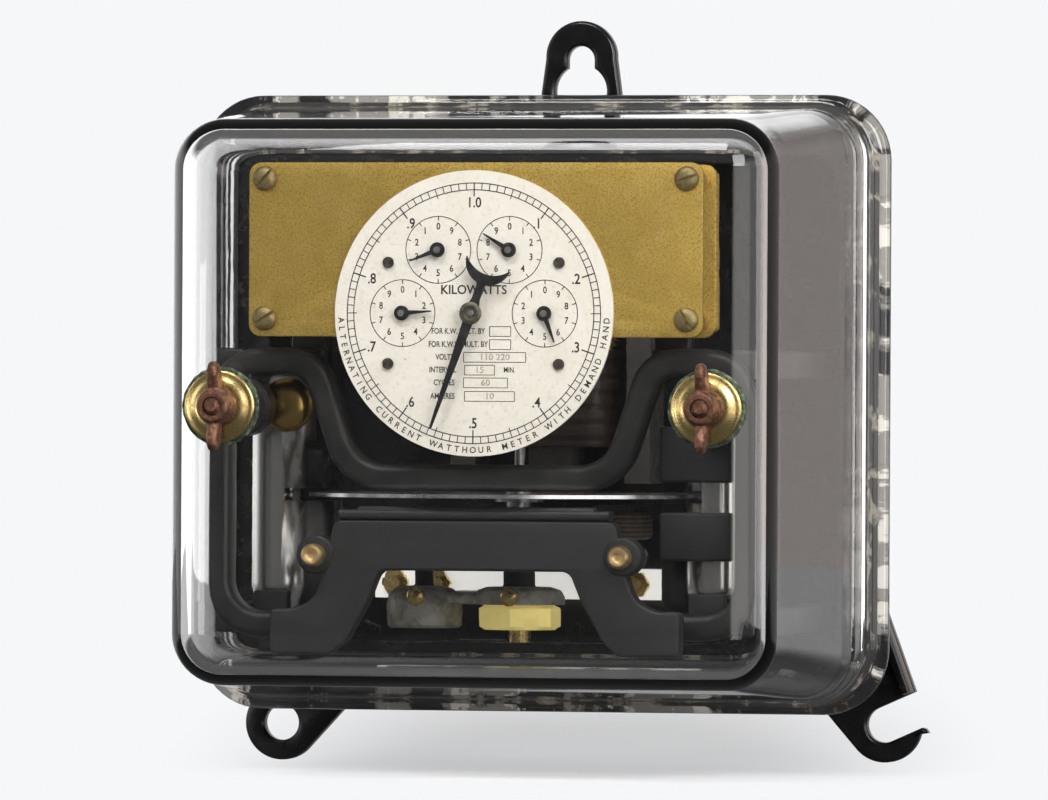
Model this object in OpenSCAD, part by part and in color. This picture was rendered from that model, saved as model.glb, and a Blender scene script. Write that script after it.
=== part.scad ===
// Glass-cased electricity meter with four counting dials and a maximum-demand hand.
// X runs to the right, Y runs into the wall and Z runs up, in millimetres.
// The origin is the middle of the back face that lies on the wall. A depth is measured from the
// wall towards the room, so a point at depth d has y = -d. Outlines are drawn in X and Z.

/* [Base] */
// Width of the pan of the base
pan_width = 164; // [156:1:186]
// Height of the pan of the base
pan_height = 144; // [138:1:160]
// Depth of the pan, from the wall to the face that the cover seats on
pan_depth = 44; // [38:1:60]
// Thickness of the pan's side walls
pan_wall = 4; // [3:0.5:6]
// Thickness of the pan's floor
pan_floor = 4; // [3:0.5:6]
// Corner radius of the pan
pan_corner = 14; // [10:1:20]
// How far the seating flange stands out past the pan's sides
flange_reach = 11; // [8:0.5:13]
// Thickness of the seating flange
flange_thick = 3; // [2:0.5:5]
// Thickness of the fixing lugs
lug_thick = 5; // [4:0.5:7]
// Radius of the narrow part of the keyhole in the top lug
keyhole_radius = 3.8; // [3:0.1:4.5]
// Radius of the wide part of the keyhole
keyhole_entry = 7.35; // [6:0.05:8]
// Radius of the hole in the left lug and of the slot in the right lug
screw_hole_radius = 4.9; // [3.5:0.1:5.5]
// Outer radius of the left and right lugs about their screws
lug_radius = 10.4; // [9:0.1:12]
// Radius of the bushed hole for the leads
lead_radius = 4; // [3:0.25:5]

/* [Cover] */
// Depth of the front of the glass
glass_front = 140; // [138:1:150]
// Thickness of the glass
glass_wall = 5; // [4:0.5:6]
// Rounding of the front edges of the glass
glass_round = 14; // [9:1:18]
// How much wider the glass is on each side where it meets its rim
glass_draft = 8; // [4:0.5:9]
// Thickness of the rim
rim_thick = 6; // [4:0.5:8]
// Corner radius of the rim
rim_corner = 18; // [14:1:24]
// Thickness of the seal between the flange and the rim
seal_thick = 1.2; // [0.8:0.1:2]
// Distance of each cover stud from the middle
stud_x = 66.4; // [64:0.2:68]
// Height of the cover studs
stud_z = -1.2; // [-3:0.2:1]
// Radius of the cover studs
stud_radius = 2.4; // [2:0.1:2.6]
// Radius of the clearance hole for a stud in the glass
stud_hole = 3.2; // [3:0.1:4]
// Span of a wing nut across its wings
wing_span = 24.3; // [20:0.1:28]

/* [Register] */
// Width of the register plates
plate_width = 124.3; // [120:0.1:132]
// Height of the register plates
plate_height = 46.6; // [44:0.1:50]
// Height of the top edge of the register plates
plate_top = 64.2; // [62:0.1:66]
// Thickness of the register plates
plate_thick = 1.5; // [1.2:0.1:2]
// Depth of the front face of the front plate
plate_front = 126; // [125:0.1:126.5]
// Clear space between the two register plates
plate_gap = 14.5; // [14.3:0.1:16]
// Radius of the dial
dial_radius = 38.1; // [38:0.1:42]
// Height of the middle of the dial
dial_z = 23.9; // [23:0.1:25]
// Thickness of the dial
dial_thick = 1; // [0.6:0.1:1.4]
// Distance of the small dials' arbors from the middle of the dial, and of each from the next
arbor_pitch = 19.5; // [19:0.1:20]
// Radius of the arbors
arbor_radius = 0.9; // [0.8:0.05:1]
// Running clearance of an arbor in its hole
arbor_play = 0.05; // [0.03:0.01:0.08]
// Teeth on each counting wheel
wheel_teeth = 80; // [80]
// Teeth on each pinion
pinion_teeth = 8; // [8]
// Thickness of a counting wheel
wheel_thick = 1.2; // [0.8:0.1:1.4]
// Angle that the demand hand rests at, clockwise from the top
hand_angle = 199.8; // [0:0.1:359]
// Length of the demand hand
hand_length = 33.3; // [30:0.1:35]

/* [Disk] */
// Radius of the aluminium disk
disk_radius = 57; // [50:0.5:58]
// Thickness of the disk
disk_thick = 1; // [0.8:0.1:1.2]
// Height of the middle of the disk
disk_z = -24.9; // [-25.2:0.1:-24.6]
// Depth of the spindle
spindle_depth = 72; // [71:0.5:73]
// Radius of the spindle
spindle_radius = 1.5; // [1.2:0.1:1.7]
// Teeth on the worm wheel
worm_wheel_teeth = 36; // [36]
// Distance from one worm thread to the next
worm_pitch = 1.257; // [1.2:0.001:1.3]

/* [Frame] */
// Depth of the front face of the main frame
frame_front = 119; // [118:0.5:120]
// Thickness of the main frame from front to back
frame_thick = 9; // [7:0.5:9]
// Half of the outer width of the main frame
frame_half = 76; // [72:0.5:76]
// Thickness of the bars of the main frame
frame_bar = 6.7; // [6:0.1:7]
// Thickness of the lower bracket from front to back
bracket_thick = 7; // [5:0.5:8]
// Half of the width of the lower bracket across its top
bracket_half = 39.3; // [37:0.1:41]

/* [Magnets] */
// Thickness of a drag magnet from front to back
magnet_thick = 20; // [14:1:22]
// Outer edge of a drag magnet, from the middle
magnet_outer = 67.7; // [66:0.1:69]
// Width of a drag magnet's spine
magnet_bar = 15.9; // [14:0.1:17]
// Gap that the disk turns in
magnet_gap = 3.2; // [2.6:0.1:6]

/* [Hidden] */

$fn = 64;
SIDES = [-1, 1];
over = 1;                    // how far a cutting tool runs past the face it cuts

// Base
flange_width = pan_width + 2 * flange_reach;
flange_height = pan_height + 2 * flange_reach - 5;
top_lug_z = pan_height / 2 + 24;
top_lug_radius = 10;
top_lug_half = 13;
keyhole_z = top_lug_z - 0.8;
keyhole_entry_z = top_lug_z - 9.5;
left_lug = [-pan_width / 2 - 2.7, -pan_height / 2 - 17.3];
right_lug = [pan_width / 2 + 4.7, -pan_height / 2 - 16];
slot_angle = 24;
rib_top = [pan_width / 2 + 5, -pan_height / 2 + 15.8];
rib_foot = [pan_width / 2 + 13.3, -pan_height / 2 - 6.8];
rib_thick = 2.4;
rib_depth = 11;
lead_x = 22;
lead_depth = 24;
bushing_radius = lead_radius + 3;
bushing_flange = 2;

// Cover. The glass and its rim keep to the size of the pan and its flange.
glass_width = pan_width + 2;
glass_height = pan_height + 8;
rim_width = flange_width + 7.8;
rim_height = flange_height + 7.5;
seal_back = pan_depth;
rim_back = seal_back + seal_thick;
rim_front = rim_back + rim_thick;
gasket_thick = 1.2;
gasket_radius = 10.8;
washer_radius = 9.65;
washer_thick = 1.2;
washer_dish = 2.2;
washer_back = glass_front + gasket_thick;
nut_back = washer_back + washer_dish;
nut_hub_radius = 5.45;
nut_hub_depth = 6.8;
nut_bore = stud_radius + 0.08;
wing_thick = 3.5;
wing_radius = 3.6;
stud_length = nut_back + nut_hub_depth + 1 - (frame_front - frame_thick - 2);

// Frame
frame_back = frame_front - frame_thick;
shoulder_z = [7.8, 14.5];
shoulder_end = 43;
dip_half = 28;
dip_z = [-22.6, -17.5];
loop_foot_z = -63;
loop_corner = 15;
stud_boss = 8;
leg_size = 8;
leg_x = frame_half - 5;
leg_z = [10.5, -58];
leg_screw_radius = 2;
leg_screw_depth = 16;
tab_half = 5;
tab_x = 50;

// Lower bracket
bracket_top = -31.3;
bracket_lip = -27.6;
bracket_lip_half = 33;
foot_outer = 56.1;
foot_z = [-67.6, -54];
arch_top = -44.7;
arch_half = 26.1;
leg_inner = 35.6;
pin_places = [[-43.5, -40.8], [40.4, -40.8]];
pin_radius = 3;
pin_tip = 131;

// Register
plate_back = plate_front - plate_thick;
rear_front = plate_back - plate_gap;
rear_back = rear_front - plate_thick;
plate_foot = plate_top - plate_height;
plate_mid = (plate_top + plate_foot) / 2;
plate_corner = 3.3;
front_tab = [27, 0];
rear_tab = [16, 0];
dial_front = plate_front + dial_thick;
pillar_x = plate_width / 2 - 4.35;
pillar_places = [for (x = [-pillar_x, pillar_x], z = [plate_foot + 4.8, plate_top - 4.4]) [x, z]];
pillar_radius = 3;
screw_radius = 1.5;
screw_head = 3.3;
screw_head_thick = 1.8;
slot_width = 0.8;
dial_screw_place = [23.4, 13.5];
dial_screw_head = 1.5;

// Counting train. Arbor 1 is the right-hand one, and each drives the next, anticlockwise.
dial_place = [0, dial_z];
drive_place = dial_place + arbor_pitch * [cos(-60), sin(-60)];
arbor_places = [for (i = [0:3]) dial_place + arbor_pitch * [cos(60 * i), sin(60 * i)]];
wheel_step = (plate_gap - 1.4) / 4 - 0.02;
wheel_depths = [for (i = [0:3]) rear_front + 1.2 + wheel_step * i];
gear_module = 2 * arbor_pitch / (wheel_teeth + pinion_teeth);
pinion_length = 2.2;
pointer_angles = [159.6, 302, 248.5, 86];
pointer_depth = dial_front + 0.9;
pointer_thick = 0.6;
pointer_length = 8.2;
pointer_hub = 2;
arbor_tip = pointer_depth + pointer_thick + 0.6;
arbor_hole = arbor_radius + arbor_play;
hand_depth = arbor_tip + 0.6;
hand_thick = 0.8;
hand_collar = 3.06;

// Worm drive
worm_wheel_radius = worm_wheel_teeth * worm_pitch / (2 * PI);
worm_radius = drive_place[0] - worm_wheel_radius - 0.1;
worm_rise = 0.4;
worm_turns = 5;
bridge_back = 64;
bridge_thick = 2;
bridge_half = 5;
bridge_z = [drive_place[1] - 5, drive_place[1] + 9];

// Spindle and bearings
spindle_foot = -45.3;
spindle_top = 26;
pivot_radius = 0.8;
pivot_length = 3;
jewel_top = spindle_foot - 0.3;
jewel_radius = 3;
jewel_foot = -66;
nut_flats = 19.9;
nut_z = [-61.3, -54.6];
boss_z = [-61, -49.6];
boss_radius = 12.4;
side_boss_x = -26.5;
side_boss_radius = 10.5;
upper_pin_radius = 0.75;
upper_pin_foot = 20.5;
upper_arm_z = [31, 37];
upper_arm_half = 5;
hub_radius = 3.5;
hub_z = [-31, -18];
hub_flange = 6.5;

// Magnets and electromagnet
magnet_front = frame_back - 4;
magnet_back = magnet_front - magnet_thick;
magnet_z = [-56.2, 7.5];
magnet_corner = 10;
jaw_top = -11;
jaw_inner = 45;
slot_floor = disk_radius + 1;
core_depth = [20, 36];
pole_gap = 2.5;
core_half = 28;
core_top = 28;
yoke_height = 9;
limb_width = 7;
middle_limb = 12;
coil_half = 16.5;
coil_z = [-12, 15];
coil_reach = 8;
current_limb_x = 16;
current_limb = 8;
current_foot = -45;
current_yoke = 7;
current_coil_half = 8.6;
current_coil_z = [-37.4, -30];
current_coil_reach = 6;
block_x = [-54, 34];
block_z = [-54, -45.6];
block_middle = (block_z[0] + block_z[1]) / 2;
terminal_places = [-48, -36, 8, 20];
block_depth = 16;

// Puts an X and Z outline between two depths.
module slab(depth, thick) {
    translate([0, -depth, 0]) rotate([90, 0, 0]) linear_extrude(height = thick) children();
}

// A round rod that runs towards the room.
module rod(place, depth, length, radius) {
    translate([place[0], -depth, place[1]]) rotate([90, 0, 0]) cylinder(h = length, r = radius);
}

// A round post that stands up from z at a depth.
module post(x, depth, z, length, radius) {
    translate([x, -depth, z]) cylinder(h = length, r = radius);
}

// A block between two corners given as x, depth and z.
module block(low, high) {
    translate([low[0], -high[1], low[2]])
        cube([high[0] - low[0], high[1] - low[1], high[2] - low[2]]);
}

// A rectangle with round corners about the origin.
module rounded(width, height, radius) {
    square([width - 2 * radius, height], center = true);
    square([width, height - 2 * radius], center = true);
    for (x = SIDES, z = SIDES)
        translate([x * (width / 2 - radius), z * (height / 2 - radius)]) circle(r = radius);
}

// The point where a line from p touches a circle. The side is 1 or -1.
function touch(p, centre, radius, side) =
    let (d = p - centre, reach = norm(d), bearing = atan2(d[1], d[0]) + side * acos(radius / reach))
    centre + radius * [cos(bearing), sin(bearing)];

// A tongue that narrows from two root points to a round end.
module tongue(root_a, root_b, centre, radius) {
    polygon([root_a, touch(root_a, centre, radius, 1), touch(root_b, centre, radius, -1), root_b]);
    translate(centre) circle(r = radius);
}

// A toothed wheel's outline with its first tooth at an angle.
module gear_outline(teeth, pitch_radius, tooth_module, first) {
    root = pitch_radius - 1.3 * tooth_module;
    tip = pitch_radius + 0.8 * tooth_module;
    pitch = 360 / teeth;
    polygon([for (i = [0:teeth - 1], k = [0:3])
        let (
            radius = k == 0 || k == 3 ? root : tip,
            share = k == 0 ? -0.29 : k == 1 ? -0.09 : k == 2 ? 0.09 : 0.29,
            angle = first + pitch * (i + share)
        )
        radius * [cos(angle), sin(angle)]]);
}

// A slotted screw head on a shank, with the head's flat back at a depth.
module slotted_screw(place, head_back, head_radius, head_thick, shank, shank_length, turn) {
    difference() {
        rod(place, head_back, head_thick, head_radius);
        translate([place[0], 0, place[1]]) rotate([0, turn, 0])
            slab(head_back + head_thick * 0.55, head_thick)
                square([2.2 * head_radius, slot_width], center = true);
    }
    rod(place, head_back - shank_length, shank_length, shank);
}

// The parts of the base.
module top_lug() {
    difference() {
        tongue([top_lug_half, pan_height / 2 - 1], [-top_lug_half, pan_height / 2 - 1],
            [0, top_lug_z], top_lug_radius);
        translate([0, keyhole_z]) circle(r = keyhole_radius);
        translate([-keyhole_radius, keyhole_entry_z])
            square([2 * keyhole_radius, keyhole_z - keyhole_entry_z]);
        translate([0, keyhole_entry_z]) circle(r = keyhole_entry);
    }
}

module left_lug_outline() {
    difference() {
        tongue([-pan_width / 2 + 1, -pan_height / 2 + 20], [-pan_width / 2 + 26, -pan_height / 2 + 1],
            left_lug, lug_radius);
        translate(left_lug) circle(r = screw_hole_radius);
    }
}

module right_lug_outline() {
    lip = right_lug + screw_hole_radius * [-sin(slot_angle), cos(slot_angle)];
    difference() {
        union() {
            polygon([
                [pan_width / 2 - 2, -pan_height / 2 + 28], rib_top, rib_foot, lip,
                touch([pan_width / 2 - 22, -pan_height / 2 + 1], right_lug, lug_radius, 1),
                [pan_width / 2 - 22, -pan_height / 2 + 1]
            ]);
            translate(right_lug) circle(r = lug_radius);
        }
        translate(right_lug) {
            circle(r = screw_hole_radius);
            rotate(slot_angle) translate([0, -screw_hole_radius])
                square([3 * lug_radius, 2 * screw_hole_radius]);
        }
    }
}

module right_lug_rib() {
    along = (rib_foot - rib_top) / norm(rib_foot - rib_top);
    inward = rib_thick * [along[1], -along[0]];
    slab(0, rib_depth) polygon([rib_top, rib_foot, rib_foot + inward, rib_top + inward]);
}

module frame_screw_places() {
    for (x = SIDES, z = leg_z) translate([x * leg_x, 0, z]) children();
}

module base_casting() color([0.05, 0.05, 0.055]) {
    difference() {
        union() {
            slab(0, pan_floor) rounded(pan_width, pan_height, pan_corner);
            slab(0, pan_depth) difference() {
                rounded(pan_width, pan_height, pan_corner);
                rounded(pan_width - 2 * pan_wall, pan_height - 2 * pan_wall, pan_corner - pan_wall);
            }
            slab(pan_depth - flange_thick, flange_thick) difference() {
                rounded(flange_width, flange_height, rim_corner - 2);
                rounded(pan_width - 2 * pan_wall, pan_height - 2 * pan_wall, pan_corner - pan_wall);
            }
            slab(0, lug_thick) difference() {
                union() {
                    top_lug();
                    left_lug_outline();
                    right_lug_outline();
                }
                square([pan_width - 2 * pan_wall, pan_height - 2 * pan_wall], center = true);
            }
            right_lug_rib();
            for (x = SIDES) {
                rod([x * (core_half - limb_width / 2), core_top - yoke_height / 2], pan_floor - over,
                    core_depth[0] - pan_floor + over, 3);
                rod([x * current_limb_x, current_foot + 3], pan_floor - over,
                    core_depth[0] - pan_floor + over, 2.8);
            }
        }
        for (x = SIDES) post(x * lead_x, lead_depth, -pan_height / 2 - over, pan_wall + 2 * over,
            bushing_radius);
        frame_screw_places() {
            rod([0, 0], -over, pan_floor + 2 * over, leg_screw_radius + 0.2);
            rod([0, 0], -over, 2 + over, 2 * leg_screw_radius + 0.2);
        }
    }
}

module cover_seal() color([0.16, 0.15, 0.14]) {
    slab(seal_back, seal_thick) difference() {
        rounded(flange_width - 0.6, flange_height - 0.6, rim_corner - 2);
        rounded(flange_width - 12, flange_height - 12, rim_corner - 8);
    }
}

module lead_bushings() color([0.1, 0.07, 0.06]) {
    for (x = SIDES) difference() {
        union() {
            post(x * lead_x, lead_depth, -pan_height / 2 - bushing_flange,
                pan_wall + 2 * bushing_flange, bushing_radius);
            post(x * lead_x, lead_depth, -pan_height / 2 - bushing_flange, bushing_flange,
                bushing_radius + 1.6);
        }
        post(x * lead_x, lead_depth, -pan_height / 2 - bushing_flange - over,
            pan_wall + 2 * bushing_flange + 2 * over, lead_radius);
    }
}

module terminal_block() color([0.93, 0.92, 0.88]) {
    difference() {
        block([block_x[0], pan_floor, block_z[0]], [block_x[1], block_depth, block_z[1]]);
        for (x = terminal_places) rod([x, block_middle], block_depth - 6, 6 + over, 2);
    }
}

module terminal_studs() color([0.75, 0.58, 0.28]) {
    for (x = terminal_places) {
        rod([x, block_middle], block_depth - 6, 12, 2);
        translate([x, 0, block_middle]) slab(block_depth, 2.4) difference() {
            circle(r = 3.8, $fn = 6);
            circle(r = 2);
        }
    }
}

// The W-shaped main frame, its two side loops, its legs and the tabs behind the register.
module shoulder_run() {
    for (side = SIDES) scale([side, 1]) {
        polygon([
            [shoulder_end - 5, shoulder_z[1]], [frame_half - loop_corner, shoulder_z[1]],
            [frame_half - loop_corner, shoulder_z[0]], [shoulder_end, shoulder_z[0]],
            [shoulder_end - 4, shoulder_z[0] - 5], [shoulder_end - 5.2, dip_z[0] + 9],
            [shoulder_end - 10, dip_z[0] + 2.4], [dip_half, dip_z[0]],
            [0, dip_z[0]], [0, dip_z[1]], [dip_half, dip_z[1]],
            [shoulder_end - 12.4, dip_z[1] + 4.6], [shoulder_end - 12, shoulder_z[0] - 4]
        ]);
    }
}

module side_loop() {
    height = shoulder_z[1] - loop_foot_z;
    for (side = SIDES) translate([side * (frame_half - 16), loop_foot_z + height / 2])
        difference() {
            rounded(32, height, loop_corner);
            translate([0, 0]) rounded(32 - 2 * frame_bar, height - 2 * frame_bar,
                loop_corner - frame_bar);
            translate([side > 0 ? -17 : 17 - frame_bar - 1, -height / 2 + 16])
                square([frame_bar + 1, height - 32]);
        }
}

module main_frame() color([0.045, 0.045, 0.05]) {
    difference() {
        union() {
            slab(frame_back, frame_thick) {
                shoulder_run();
                side_loop();
                for (x = SIDES) translate([x * stud_x, stud_z]) circle(r = stud_boss);
                for (x = SIDES) translate([x * stud_x - 3, stud_z])
                    square([6, shoulder_z[0] - stud_z + 1]);
            }
            for (x = SIDES, z = leg_z) block(
                [x * leg_x - leg_size / 2, pan_floor, z - leg_size / 2],
                [x * leg_x + leg_size / 2, frame_back + 1, z + leg_size / 2]);
            for (x = SIDES) block(
                [x * tab_x - tab_half, rear_back - 6, shoulder_z[0]],
                [x * tab_x + tab_half, rear_back, plate_foot + 20]);
            for (x = SIDES) block(
                [x * tab_x - tab_half, rear_back - 6, shoulder_z[0]],
                [x * tab_x + tab_half, frame_back + 1, shoulder_z[1]]);
        }
        for (x = SIDES) rod([x * stud_x, stud_z], frame_back - over, frame_thick + 2 * over,
            stud_radius);
        frame_screw_places() rod([0, 0], pan_floor - over, leg_screw_depth + over, leg_screw_radius);
    }
}

module frame_screws() color([0.3, 0.29, 0.28]) {
    frame_screw_places() {
        rod([0, 0], 0.3, 1.7, 2 * leg_screw_radius);
        rod([0, 0], 2, pan_floor + leg_screw_depth - 4, leg_screw_radius);
    }
}

module lower_bracket() color([0.07, 0.07, 0.075]) {
    difference() {
        union() {
            slab(frame_front, bracket_thick) polygon([
                [-bracket_half, bracket_top], [bracket_half, bracket_top],
                [bracket_half + 1.5, arch_top], [foot_outer - 8, foot_z[1]],
                [foot_outer, foot_z[1]], [foot_outer, foot_z[0]],
                [leg_inner + 4, foot_z[0]], [-leg_inner - 4, foot_z[0]],
                [-foot_outer, foot_z[0]], [-foot_outer, foot_z[1]],
                [-foot_outer + 8, foot_z[1]], [-bracket_half - 1.5, arch_top]
            ]);
            block([-bracket_lip_half, frame_front, bracket_top - 1],
                [bracket_lip_half, frame_front + bracket_thick - 2, bracket_lip]);
            for (place = pin_places) rod(place, frame_front, bracket_thick, pin_radius + 2.2);
        }
        slab(frame_front - over, bracket_thick + 2 * over) polygon([
            [-arch_half, arch_top], [arch_half, arch_top], [leg_inner, -64.6],
            [leg_inner + 1, foot_z[0] - over], [-leg_inner - 1, foot_z[0] - over], [-leg_inner, -64.6]
        ]);
        for (place = pin_places) rod(place, frame_front - over, bracket_thick + 2 * over, pin_radius - 0.8);
    }
}

module bracket_pins() color([0.78, 0.55, 0.32]) {
    for (place = pin_places) {
        rod(place, frame_front, bracket_thick, pin_radius - 0.8);
        rod(place, frame_front + bracket_thick, pin_tip - frame_front - bracket_thick, pin_radius);
    }
}

// A drag magnet is a C whose two jaws close on the disk. The side is -1 for the left one.
module drag_magnet(side) {
    middle = (magnet_z[0] + magnet_z[1]) / 2;
    height = magnet_z[1] - magnet_z[0];
    width = magnet_outer - jaw_inner;
    mirror([side < 0 ? 1 : 0, 0, 0]) difference() {
        slab(magnet_back, magnet_thick)
            translate([jaw_inner + width / 2, middle]) rounded(width, height, magnet_corner);
        block([jaw_inner - over, magnet_back - over, disk_z - magnet_gap / 2],
            [slot_floor, magnet_front + over, disk_z + magnet_gap / 2]);
        block([jaw_inner - over, magnet_back - over, jaw_top],
            [magnet_outer - magnet_bar, magnet_front + over, magnet_z[1] + over]);
    }
}

module drag_magnet_left() color([0.62, 0.62, 0.6]) drag_magnet(-1);

module drag_magnet_right() color([0.62, 0.62, 0.6]) drag_magnet(1);

module magnet_clamps() color([0.06, 0.06, 0.065]) {
    low = [magnet_z[0] + 6, loop_foot_z + 2];
    middle = magnet_outer - magnet_bar / 2;
    upper_half = min(5, middle - tab_x - tab_half);
    for (side = SIDES, span = [[low[1], low[0], 5], [0.5, shoulder_z[1] - 2, upper_half]]) block(
        [side * middle - span[2], magnet_front, span[0]],
        [side * middle + span[2], frame_back, span[1]]);
}

module magnet_keeper() color([0.03, 0.03, 0.035]) {
    block([jaw_inner + 2, magnet_front, disk_z - 17], [magnet_outer - 1, frame_back - 0.5, disk_z - 4]);
    block([jaw_inner + 2, magnet_front, disk_z + 4], [magnet_outer - 1, frame_back - 0.5, disk_z + 19]);
}

// The electromagnet: the potential limb stands above the disk and the current limbs below it.
module potential_core() color([0.2, 0.19, 0.18]) {
    foot = disk_z + disk_thick / 2 + pole_gap;
    slab(core_depth[0], core_depth[1] - core_depth[0]) {
        translate([-core_half, core_top - yoke_height]) square([2 * core_half, yoke_height]);
        translate([-middle_limb / 2, foot]) square([middle_limb, core_top - foot]);
        for (x = SIDES) translate([x * (core_half - limb_width / 2) - limb_width / 2, foot])
            square([limb_width, core_top - foot]);
    }
}

module potential_coil() color([0.25, 0.13, 0.08]) {
    gap = 0.2;
    difference() {
        block([-coil_half, core_depth[0] - coil_reach, coil_z[0]],
            [coil_half, core_depth[1] + coil_reach, coil_z[1]]);
        block([-middle_limb / 2 - gap, core_depth[0] - gap, coil_z[0] - over],
            [middle_limb / 2 + gap, core_depth[1] + gap, coil_z[1] + over]);
    }
}

module current_core() color([0.2, 0.19, 0.18]) {
    top = disk_z - disk_thick / 2 - pole_gap;
    slab(core_depth[0], core_depth[1] - core_depth[0]) {
        translate([-current_limb_x - current_limb / 2, current_foot])
            square([2 * current_limb_x + current_limb, current_yoke]);
        for (x = SIDES) translate([x * current_limb_x - current_limb / 2, current_foot])
            square([current_limb, top - current_foot]);
    }
}

module current_coils() color([0.45, 0.4, 0.3]) {
    gap = 0.2;
    for (x = SIDES) difference() {
        block([x * current_limb_x - current_coil_half, core_depth[0] - current_coil_reach,
            current_coil_z[0]],
            [x * current_limb_x + current_coil_half, core_depth[1] + current_coil_reach,
            current_coil_z[1]]);
        block([x * current_limb_x - current_limb / 2 - gap, core_depth[0] - gap,
            current_coil_z[0] - over],
            [x * current_limb_x + current_limb / 2 + gap, core_depth[1] + gap,
            current_coil_z[1] + over]);
    }
}

module shading_band() color([0.72, 0.36, 0.2]) {
    foot = disk_z + disk_thick / 2 + pole_gap + 1;
    difference() {
        block([-middle_limb / 2 - 2, core_depth[0] - 2, foot],
            [middle_limb / 2 + 2, core_depth[1] + 2, foot + 3]);
        block([-middle_limb / 2, core_depth[0], foot - over],
            [middle_limb / 2, core_depth[1], foot + 3 + over]);
    }
}

// Bearings of the disk.
module lower_bearing_bridge() color([0.5, 0.5, 0.48]) {
    difference() {
        union() {
            post(0, spindle_depth, nut_z[1], boss_z[1] - nut_z[1], boss_radius);
            post(side_boss_x, spindle_depth, boss_z[0], boss_z[1] - boss_z[0], side_boss_radius);
            post(0, spindle_depth, boss_z[1] - 1, jewel_top - boss_z[1] + 1, jewel_radius + 1.3);
            block([side_boss_x, spindle_depth - 6, nut_z[1]], [0, spindle_depth + 6, boss_z[1] - 2]);
            block([side_boss_x - 4, block_depth + 8, nut_z[1]], [4, spindle_depth, boss_z[1] - 2]);
            block([side_boss_x - 4, block_depth, nut_z[1]],
                [side_boss_x + 4, block_depth + 8, boss_z[1] - 2]);
        }
        post(0, spindle_depth, boss_z[0] - over, jewel_top + 2 * over - boss_z[0], jewel_radius);
    }
    post(side_boss_x, spindle_depth, boss_z[1], -45 - boss_z[1], 2.4);
}

module jewel_screw() color([0.7, 0.52, 0.25]) {
    difference() {
        post(0, spindle_depth, jewel_foot, jewel_top - jewel_foot, jewel_radius);
        post(0, spindle_depth, jewel_top - pivot_length - 0.3, pivot_length + 0.3 + over,
            pivot_radius + arbor_play);
        block([-jewel_radius - over, spindle_depth - 0.5, jewel_foot - over],
            [jewel_radius + over, spindle_depth + 0.5, jewel_foot + 1.2]);
    }
}

module bearing_nut() color([0.85, 0.68, 0.3]) {
    difference() {
        translate([0, -spindle_depth, nut_z[0]]) rotate([0, 0, 30])
            cylinder(h = nut_z[1] - nut_z[0], r = nut_flats / 2 / cos(30), $fn = 6);
        post(0, spindle_depth, nut_z[0] - over, nut_z[1] - nut_z[0] + 2 * over, jewel_radius);
    }
}

module upper_bearing_bridge() color([0.06, 0.06, 0.065]) {
    difference() {
        union() {
            block([-upper_arm_half, pan_floor, upper_arm_z[0]],
                [upper_arm_half, spindle_depth, upper_arm_z[1]]);
            post(0, spindle_depth, upper_arm_z[0], upper_arm_z[1] - upper_arm_z[0], upper_arm_half);
        }
        post(0, spindle_depth, upper_arm_z[0] - over, upper_arm_z[1] - upper_arm_z[0] + 2 * over,
            upper_pin_radius);
    }
}

module upper_bearing_pin() color([0.75, 0.75, 0.74]) {
    post(0, spindle_depth, upper_pin_foot, upper_arm_z[1] + 1 - upper_pin_foot, upper_pin_radius);
    post(0, spindle_depth, upper_arm_z[1], 2, 2.2);
}

// The register's plates, pillars, screws and dial.
module plate_outline(tab) {
    difference() {
        union() {
            translate([0, plate_mid]) rounded(plate_width, plate_height, plate_corner);
            translate([-tab[0], tab[1]]) square([2 * tab[0], plate_mid - tab[1]]);
        }
        for (place = pillar_places) translate(place) circle(r = screw_radius);
        for (place = concat(arbor_places, [dial_place, drive_place]))
            translate(place) circle(r = arbor_hole);
    }
}

module register_front_plate() color([0.8, 0.65, 0.28]) {
    slab(plate_back, plate_thick) difference() {
        plate_outline(front_tab);
        dial_screw_places() circle(r = dial_screw_head / 2);
    }
}

module register_rear_plate() color([0.75, 0.6, 0.26]) slab(rear_back, plate_thick) plate_outline(rear_tab);

module register_pillars() color([0.78, 0.6, 0.3]) {
    for (place = pillar_places) {
        difference() {
            rod(place, rear_front, plate_gap, pillar_radius);
            rod(place, plate_back - 8, 8 + over, screw_radius);
        }
        rod(place, rear_back, plate_thick, screw_radius);
    }
}

module register_screws() color([0.8, 0.66, 0.4]) {
    turns = [35, 50, -60, 20];
    for (i = [0:3])
        slotted_screw(pillar_places[i], plate_front, screw_head, screw_head_thick, screw_radius,
            plate_thick + 7.5, turns[i]);
}

module dial_screw_places() {
    for (x = SIDES, z = SIDES)
        translate(dial_place + [x * dial_screw_place[0], z * dial_screw_place[1]]) children();
}

module dial_plate() color([0.93, 0.92, 0.87]) {
    slab(plate_front, dial_thick) difference() {
        translate(dial_place) circle(r = dial_radius, $fn = 128);
        for (place = concat(arbor_places, [dial_place])) translate(place) circle(r = arbor_radius + 0.4);
        dial_screw_places() circle(r = dial_screw_head / 2);
    }
}

module dial_screws() color([0.12, 0.12, 0.12]) {
    for (x = SIDES, z = SIDES)
        slotted_screw(dial_place + [x * dial_screw_place[0], z * dial_screw_place[1]], dial_front,
            dial_screw_head, 0.8, dial_screw_head / 2, dial_thick + plate_thick + 0.5, 30 * x + 20);
}

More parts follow.
